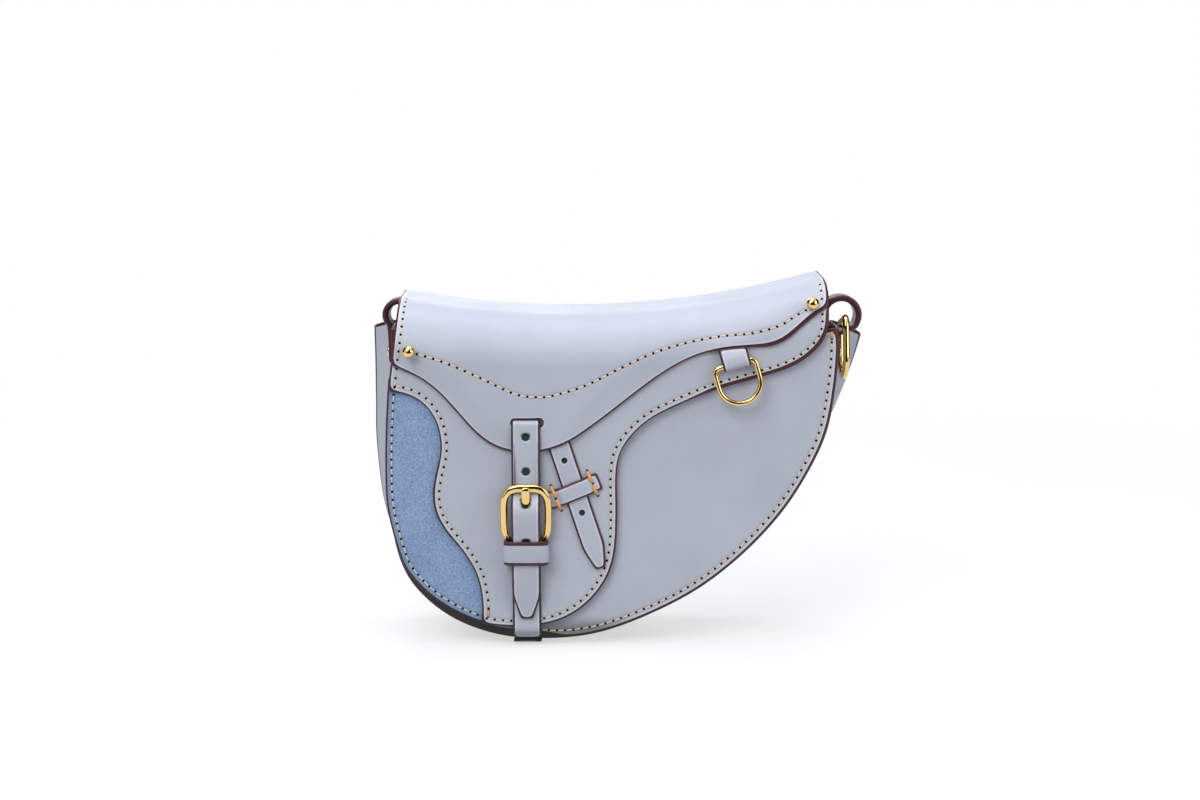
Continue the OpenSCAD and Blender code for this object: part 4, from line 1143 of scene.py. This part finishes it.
class BAG_OT_straps(bpy.types.Operator):
    """Cut the holed strap, the lower strap, its foot and the keeper loop"""

    bl_idname = "bag.straps"
    bl_label = "Front strap"

    def execute(self, context):
        size = context.scene.bag_sizes
        wide, lie = size.strap_width, forward((STRAP_X, 0))
        path, thick = spline(BILLET_PATH * MM, 6), size.billet_thickness
        place, loop = strap(path, thick, lie, wide, 0.8 * MM, 2,
                            pairs(7.5, 13.2, 3.3, 0.3, 3.1, 0) * MM)
        even = evenly(path, 0.25 * MM)
        spots = [np.array((0, np.interp(-z * MM, -even[:, 1], run_of(even))))
                 for z in (58.6, 95.4, 113.8, 80.2)]
        # The hole that the prong goes through is longer than the others
        radius = size.hole_diameter / 2
        holes = [circle(spot, radius) for spot in spots[:3]]
        holes.append(circle(spots[3], 2.35 * MM, stretch=1.2 * MM))
        leather("billet_strap", "flap", [loop, *holes], place, thick, gap=1.1 * MM,
                hole_radius=0.35 * MM, hole_slot=3)
        hole_floors("strap_hole_floors", spots[:3], around(40, radius - 0.1 * MM), place,
                    0.25 * MM)

        thick, heel = size.chape_thickness, joint("buckle_pivot")
        # It folds round the buckle's heel bar, and a slot across the fold lets the prong through
        fold = (8.1, 59.4) + arc(180, 0, 13, 2.1)[1:]
        path = np.vstack((CHAPE_BACK, fold, spline(CHAPE_FRONT, 6)[2:])) * MM
        place, loop = strap(path, thick, lie, wide, 0.8 * MM, 6)
        even = evenly(path, 0.25 * MM)
        run, top, half = run_of(even), np.argmax(even[:, 1]), 2.5 * MM
        low = np.interp(heel[2] - 3.5 * MM, even[:top, 1], run[:top])
        high = np.interp(-heel[2] + 3.5 * MM, -even[top:, 1], run[top:])
        slot = outline(pairs(-half, low, -half, high, half, high, half, low), gap=0.5 * MM,
                       soft=3)[::-1]
        leather("lower_strap", "flap", [loop, slot], place, thick, gap=1.1 * MM,
                hole_radius=0.35 * MM)

        thick = 0.7 * MM
        place, loop = strap(spline(FOOT_PATH * MM, 5), thick, lie, wide, 0.9 * MM, 6)
        leather("strap_foot", "bag", [loop], place, thick)
        settle(walled(*self.keeper(size), "keeper_leather", STRAP, wrap=True, painted=1),
               "keeper", "leather", "keeper_loop")
        return {"FINISHED"}

    @staticmethod
    def keeper(size):
        """Both faces of the keeper: a squarish loop carried up its height, drawn in a little at
        both edges by the square of the height from its middle, and leaning forward with the
        straps."""
        low, high = node_box("keeper_loop")
        edge = size.keeper_thickness / 2
        centre, half = (low + high) / 2, (high - low) / 2
        z = np.linspace(low[2] + edge, high[2] + 0.9 * MM - edge, 13)
        draw = 1 - 0.035 * ((z - centre[2]) / half[2]) ** 2
        for lift, power in ((0.0, 5), (size.keeper_thickness, 6.5)):
            loop = oval(half[0] - lift, half[1] - lift, power, 96)
            x = centre[0] + loop[:, 0, None] * draw
            y = centre[1] + loop[:, 1, None] * draw - (z - centre[2]) * np.tan(LEAN)
            yield np.stack((x, y, np.broadcast_to(z, x.shape)), -1)


class BAG_OT_buckle(bpy.types.Operator):
    """Bend the buckle's frame and lay its prong across it"""

    bl_idname = "bag.buckle"
    bl_label = "Buckle"

    def execute(self, context):
        size = context.scene.bag_sizes
        heel = joint("buckle_pivot")
        tall = BUCKLE_HALF[-1, 1]
        loop = np.vstack((BUCKLE_HALF, [[0, tall]], BUCKLE_HALF[:0:-1] * (-1, 1)))
        loop = spline(np.vstack((loop[-2:], loop, loop[:2])), 10)[20:-20] * MM
        x, z = evenly(loop[:-1], 0.7 * MM, closed=True).T
        c, s = np.cos(BUCKLE_LEAN), np.sin(BUCKLE_LEAN)
        share = np.clip(z / (tall * MM), 0, 1)
        top = np.clip((share - 0.72) / 0.26, 0, 1) ** 2
        foot = np.clip((0.16 - share) / 0.16, 0, 1)
        sizes = size.buckle_wire / 2 * np.column_stack((1 - 0.19 * foot,
                                                        1.22 + 0.12 * top - 0.41 * foot))
        brass("buckle_frame", "buckle",
              sweep(heel + np.column_stack((x, -z * s, z * c)), (0.0, c, s),
                    sizes[:, None] * oval(1.0, 1.0, 2.35, 28)))
        self.prong(size, heel)
        return {"FINISHED"}

    @staticmethod
    def prong(size, heel):
        """The prong: a flat bar that starts round the heel bar, rises to the front bar and
        thins to a short point over it."""
        curl = arc(-170, 118, 26, 2.1)
        line = evenly(spline(np.vstack((curl[::2], PRONG_SHANK)), 8) * MM, 0.5 * MM)
        s = run_of(line)
        left = s[-1] - s
        thin = np.clip(left / (2.6 * MM), 0, 1) ** 0.5
        wide = size.prong_width / 2 * (0.62 + 0.38 * thin) * np.where(left < 0.25 * MM, 0.75, 1)
        wide = wide * (1 - 0.18 * np.clip(1.5 - np.abs(line[:, 1] / MM - 18) / 2, 0, 1))
        deep = np.interp(s, (0, 25 * MM, 29 * MM), (0.68, 0.68, 1.12)) * MM * (0.45 + 0.55 * thin)
        sections = np.column_stack((wide, deep))[:, None] * oval(1.0, 1.0, 4.0, 24)
        brass("buckle_prong", "prong",
              sweep(heel + np.insert(line * (-1, 1), 0, 0, axis=1), (1.0, 0, 0), sections, False),
              closed=False)


class BAG_OT_slant(bpy.types.Operator):
    """Lay the small slanting strap and sew the band across it"""

    bl_idname = "bag.slant"
    bl_label = "Slanting strap"

    def execute(self, context):
        start, end = table(pairs(-9, 41, -22.9, 82.6))

        def lie(flat, height):
            spot = start + turned(flat, np.radians(18.2))
            under = nearest(spot, YOKE_LINE, False) > -0.5 * MM
            rise = np.where(under, height * 0.72, height)
            return np.insert(spot, 1, FRONT - SKIRT_FACE - LAY - rise, axis=1)

        spots = [(0, (31.7 + k * 14.6) * MM) for k in range(3)]
        holes = [circle(spot, 1.4 * MM, 22) for spot in spots]
        loop = outline(pairs(2.8, 0, 6, 12.5, 6, 74, -6, 74, -6, 12.5, -2.8, 0) * MM,
                       gap=0.7 * MM, soft=3)
        leather("slant_strap", "flap", [loop, *holes], lie, 1.6 * MM, gap=1.1 * MM,
                hole_radius=0.3 * MM, hole_slot=3)
        hole_floors("slant_hole_floors", spots, around(32, 1.32 * MM), lie, 0.2 * MM)

        turn, thick = np.radians(22.6), 1.4 * MM
        path = spline(BAND_PATH * (1, -1) * MM, 5)
        place, loop = strap(path, thick, forward(end, turn - QUARTER), 9.5 * MM, 0.6 * MM, 4)
        leather("slant_band", "flap", [loop], place, thick, gap=1 * MM)
        self.tacks(context.scene.bag_sizes.accent_thread / 2, forward(end, turn),
                   (np.cos(turn), 0, np.sin(turn)))
        return {"FINISHED"}

    @staticmethod
    def tacks(thick, lay, side):
        """Four thick stitches over the band's ends, each a bowed thread with a needle hole at
        both of its ends."""
        points, faces, dots = [], [], []
        path = spline(TACK_PATH * MM, 5)
        taper = 1 - 0.5 * np.linspace(-1, 1, len(path))[:, None] ** 6
        sections = oval(thick, thick, 2, 12)[None] * taper[..., None]
        for u in (-10.3, 10.3):
            for way in (-1, 1):
                faces.append(bar_faces(len(path), 12, False, len(points) * 12 * len(path)))
                line = lay(u * MM, path * (1, way))
                points.append(sweep(line, side, sections, closed=False).reshape(-1, 3))
            for w, level in ((0, BAND_LOW + 0.75), (7.1, SKIRT_FACE / MM + 0.06),
                             (-7.1, SKIRT_FACE / MM + 0.06)):
                a, b = (around(14, 0.85) + (u, w)).T * MM
                dots.append(lay(a, np.column_stack((level * MM + 0 * b, b))))
        tubes = np.vstack([f[0] for f in faces])
        caps = np.vstack([f[k] for f in faces for k in (1, 2)])
        dot_ids = np.arange(len(dots) * 14).reshape(-1, 14) + sum(map(len, points))
        piece = add_piece("slant_tacks", np.vstack(points + dots), [tubes, caps, dot_ids],
                          ["accent_thread", "needle_hole"],
                          [np.zeros(len(tubes) + len(caps)), np.ones(len(dots))])
        settle(piece, "flap", "thread", "slant_stitches")


def ring_points(width, height, wire, top_r, low_r):
    """Centre line of a ring that hangs from the middle of its upper bar: two upper corners
    and a round foot, each a quarter turn of its own radius."""
    half, low = (width - wire) / 2, -(height - wire)
    corners = ((half - top_r, -top_r, top_r, 90), (half - low_r, low + low_r, low_r, 0),
               (low_r - half, low + low_r, low_r, -90), (top_r - half, -top_r, top_r, 180))
    return evenly(np.vstack([(x, z) + arc(start, start - 90, 16, r)
                             for x, z, r, start in corners]), 0.8 * MM, closed=True)


class BAG_OT_rings(bpy.types.Operator):
    """Bend the front ring and the two side rings, and fold the front ring's tab"""

    bl_idname = "bag.rings"
    bl_label = "Rings"

    def execute(self, context):
        size = context.scene.bag_sizes
        front, side = size.ring_wire, size.side_wire
        turn = np.radians(16)
        near = ring_points(24.6 * MM, 23.6 * MM, front, 3 * MM, 10.8 * MM)
        far = ring_points(24 * MM, 34 * MM, side, 5 * MM, 10.2 * MM)
        for name, wire, loop, slope, axis, body in (
                ("front_ring", front, near, turn, 1, "front_ring"),
                ("side_ring_left", side, far, 0.0, 0, "left_ring"),
                ("side_ring_right", side, far, np.radians(-14), 0, "right_ring")):
            path = joint(f"{body}_swing") + np.insert(turned(loop, slope), axis, 0, axis=1)
            brass(name, body, sweep(path, np.eye(3)[axis], oval(wire / 2, wire / 2, 2, 24)))

        wrap = (6.7, 0) + arc(180, 360, 13, 2.2)
        back = pairs(3.46, 12.5, 4.18, 9, 4.44, 6.5, 4.5, 4, 4.5, 1.5)
        leg = pairs(8.8, 1.8, 8.45, 3.6, 7.7, 5.6, 6.9, 7.6, 6.1, 9.6)
        path = np.vstack((spline(back, 4), wrap, spline(np.vstack((wrap[-1:], leg)), 5)[1:]))
        lie, thick = forward(joint("front_ring_swing")[[0, 2]], turn), 1.2 * MM
        place, loop = strap(path[::-1] * MM, thick, lie, 14.5 * MM, 0.7 * MM, 6)
        # The front leg's end is cut on a slant, under the yoke's edge
        x, z = loop.T
        cut = np.clip(1 - z / (5 * MM), 0, 1) * np.clip(0.5 + x / (14 * MM), 0, 1)
        loop = np.column_stack((x + 1.2 * MM, z + 2.6 * MM * cut))
        leather("ring_tab", "flap", [loop], place, thick, gap=1.1 * MM)
        return {"FINISHED"}


class BAG_OT_tabs(bpy.types.Operator):
    """Fold the burgundy side tabs over the gusset's rims and rivet them"""

    bl_idname = "bag.tabs"
    bl_label = "Side tabs"

    def execute(self, context):
        size = context.scene.bag_sizes
        thick, shut, high = 2.2, 0.45, 173.5
        swell, wall = size.gusset_swell / MM, size.gusset_thickness / MM
        for name, edge, way, radius, lean in (("left", FRONT_EDGE[0, 0], -1, 8.5, 2.2),
                                              ("right", FRONT_EDGE[-1, 0], 1, 10.0, 4.3)):
            legs = [edge + way * (swell - wall - shut - thick / 2),
                    edge + way * (swell + shut + thick / 2)]
            fold = (edge + lean, high) + arc(90 + way * 152, 90 - way * 152, 32, radius - 1.35)
            heights = np.array((148.0, 156, 163.2))
            path = np.vstack((np.column_stack((legs[0] + 0 * heights, heights)), fold[1:-1:2],
                              np.column_stack((legs[1] + 0 * heights, heights[::-1]))))
            path = evenly(spline(path, 6) * MM, 0.3 * MM)[::-way]
            thin, loop = strap(path, thick * MM, lambda across, p: np.insert(
                p, 1, MIDDLE + across, axis=1), size.tab_width, 0.8 * MM, 5)

            def place(flat, height, thin=thin, length=run_of(evenly(path, 0.25 * MM))[-1]):
                grow = 1 + 0.5 * ease(1.6 - np.abs(flat[:, 1] / length * 2 - 1) * 2.2)
                return thin(flat, thick * MM + (height - thick * MM) * grow)

            settle(sheet(f"side_tab_{name}_leather", [loop], place, thick * MM,
                         ["tab_leather", "painted_edge", "tab_leather"], gap=1.2 * MM),
                   "bag", "edge_leather", f"side_tab_{name}")
            self.rivet(f"side_rivet_{name}")
        return {"FINISHED"}

    @staticmethod
    def rivet(node):
        """A rivet with a low dome at each end, sized by its node."""
        low, high = node_box(node)
        half, _, r = (high - low) / 2
        dome = RIVET_DOME * (r, 1.2 * MM) + (0, half - 1.2 * MM)
        base = dome[-1, 1]
        profile = np.vstack((dome, (1.25 * MM, base), (1.25 * MM, -base), dome[::-1] * (1, -1)))
        brass(node, "bag", lathe(profile, (low + high) / 2, np.array((1.0, 0, 0)), 36), False)


class BAG_OT_studs(bpy.types.Operator):
    """Set the ball studs into the yoke and finish their screws"""

    bl_idname = "bag.studs"
    bl_label = "Studs"

    def execute(self, context):
        size = context.scene.bag_sizes
        r = size.stud_diameter / 2
        neck = pairs(2.0, 0.1, 2.0, 0.35, 1.62, 0.6, 1.5, 0.75) * MM
        profile = np.vstack((neck, (0, r + 0.5 * MM) + arc(-62, 88, 22, r)))
        for name, spot in (("left", pairs(-107.3, 156.2)), ("right", pairs(100, 178.7))):
            flat = unroll(table(spot))
            base, out = (on_flap(YOKE_OFF)(flat, np.array((size.yoke_thickness + lift,)))[0]
                         for lift in (0, MM))
            brass(f"stud_{name}", "flap", lathe(profile, base, out - base, 40), False)
            slots = frame["nodes"][f"stud_screw_{name}"].data.materials
            slots.clear()
            slots.append(bpy.data.materials["polished_brass"])
        return {"FINISHED"}


class BAG_OT_stage(bpy.types.Operator):
    """Set the pale floor, the soft lights and the camera"""

    bl_idname = "bag.stage"
    bl_label = "Stage"

    def execute(self, context):
        scene = context.scene
        self.floor_material()
        points = pairs(-9, -9, 9, -9, 9, 9, -9, 9)
        add_piece("floor", np.insert(points, 2, -0.1 * MM, axis=1),
                           [np.arange(4)[None]], ["pale_floor"])
        self.world(scene)
        for lamp in LAMPS:
            self.lamp(*lamp)
        self.card()
        lens = bpy.data.cameras.new("camera")
        lens.lens = 50
        lens.sensor_width = 36
        camera = bpy.data.objects.new("camera", lens)
        camera.location = (-9.5 * MM, -878.1 * MM, 267.5 * MM)
        camera.rotation_euler = (np.radians(81.0), 0, 0)
        scene.collection.objects.link(camera)
        scene.camera = camera
        scene.view_settings.view_transform = "Standard"
        return {"FINISHED"}

    @staticmethod
    def world(scene):
        """White to the camera, bright in reflections and soft as light."""
        scene.world = bpy.data.worlds.new("studio")
        scene.world.use_nodes = True
        net = Net(scene.world.node_tree, clear=True)
        ray = net.add("LightPath").outputs
        soft, gloss, white = (net.add("Background", {"Color": (*colour, 1), "Strength": power})
                              for colour, power in (((0.93, 0.96, 1), 0.42), ((1, 1, 1), 0.9),
                                                    ((1, 1, 1), 1.0)))
        seen = net.join("MAXIMUM", ray["Is Camera Ray"], ray["Is Transmission Ray"])
        both = net.blend(seen, net.blend(ray["Is Glossy Ray"], soft, gloss), white)
        net.add("OutputWorld", {"Surface": both.outputs[0]})

    @staticmethod
    def floor_material():
        """A pale floor that keeps the bag's shadow. Away from the bag, past a smooth step from
        0.35 m to 0.9 m, it is seen as bright as the world behind it."""
        material = bpy.data.materials.new("pale_floor")
        material.use_nodes = True
        net = Net(material.node_tree, clear=True)
        where, ray = net.where(), net.add("LightPath").outputs
        tone = net.mix(net.ramp(net.noise(where, 3, 2), 0.3, 0.7), (0.37, 0.37, 0.37, 1),
                       (0.40, 0.40, 0.40, 1))
        seen = net.join("MAXIMUM", ray["Is Camera Ray"], ray["Is Glossy Ray"],
                        ray["Is Transmission Ray"])
        paper = net.add("BsdfDiffuse", {"Color": tone})
        glow = net.add("Emission", {"Strength": net.times(seen, 0.6)})
        both = net.add("AddShader", {0: paper.outputs[0], 1: glow.outputs[0]})
        reach = net.add("VectorMath", {0: where}, operation="LENGTH").outputs["Value"]
        whole = net.blend(net.times(net.ramp(reach, 0.35, 0.9), seen), both,
                          net.add("Emission"))
        net.add("OutputMaterial", {"Surface": whole.outputs[0]})

    @staticmethod
    def card():
        """Black cards before and beside the bag that only the metal's reflections show."""
        material = bpy.data.materials.new("black_card")
        material.use_nodes = True
        surface = material.node_tree.nodes["Principled BSDF"].inputs
        surface["Base Color"].default_value = (0.01, 0.01, 0.01, 1)
        surface["Roughness"].default_value = 1.0
        sides = [(x, y, z) for x in (1.2, -1.2)
                 for y, z in ((-0.2, 0.003), (1.5, 0.003), (1.5, 1.4), (-0.2, 1.4))]
        points = np.array(((-1.1, -1.5, 2.0), (1.1, -1.5, 2.0), (1.1, -1.5, 0.002),
                           (-1.1, -1.5, 0.003), (-0.9, -0.36, 0.002), (0.9, -0.36, 0.002),
                           *sides))
        card = add_piece("card", points, [np.array(((0, 1, 2, 3), (3, 2, 5, 4), (6, 7, 8, 9),
                                                    (10, 11, 12, 13)))], ["black_card"])
        card.visible_camera = card.visible_diffuse = card.visible_shadow = False

    @staticmethod
    def lamp(name, spot, size, power, colour):
        """A soft rectangular lamp that faces the bag."""
        light = bpy.data.lights.new(name, "AREA")
        light.color = colour
        light.shape = "RECTANGLE"
        light.size, light.size_y = size
        light.energy = power
        made = bpy.data.objects.new(name, light)
        away = np.array((0, 0, 0.1)) - spot
        made.location = spot
        made.rotation_euler = (np.arctan2(np.hypot(away[0], away[1]), -away[2]), 0,
                               np.arctan2(away[1], away[0]) - QUARTER)
        bpy.context.scene.collection.objects.link(made)


STEPS = (BAG_OT_materials, BAG_OT_body, BAG_OT_flap, BAG_OT_straps, BAG_OT_buckle,
         BAG_OT_slant, BAG_OT_rings, BAG_OT_tabs, BAG_OT_studs, BAG_OT_seams, BAG_OT_stage)


class BAG_PT_panel(bpy.types.Panel):
    """Lists the handbag's pieces, sizes and colours"""

    bl_idname = "BAG_PT_panel"
    bl_label = "Saddle handbag"
    bl_space_type = "VIEW_3D"
    bl_region_type = "UI"
    bl_category = "Handbag"

    def draw(self, context):
        for step in STEPS:
            self.layout.operator(step.bl_idname)
        for settings in (context.scene.bag_sizes, context.scene.bag_colours):
            box = self.layout.box()
            for key in settings.__annotations__:
                box.prop(settings, key)


CLASSES = (BagSizes, BagColours, *STEPS, BAG_PT_panel)


def register():
    for made in CLASSES:
        bpy.utils.register_class(made)
    bpy.types.Scene.bag_sizes = bpy.props.PointerProperty(type=BagSizes)
    bpy.types.Scene.bag_colours = bpy.props.PointerProperty(type=BagColours)


def unregister():
    del bpy.types.Scene.bag_colours
    del bpy.types.Scene.bag_sizes
    for made in reversed(CLASSES):
        bpy.utils.unregister_class(made)


def main():
    register()
    for step in STEPS:
        folder, name = step.bl_idname.split(".")
        getattr(getattr(bpy.ops, folder), name)()


if __name__ == "__main__":
    main()
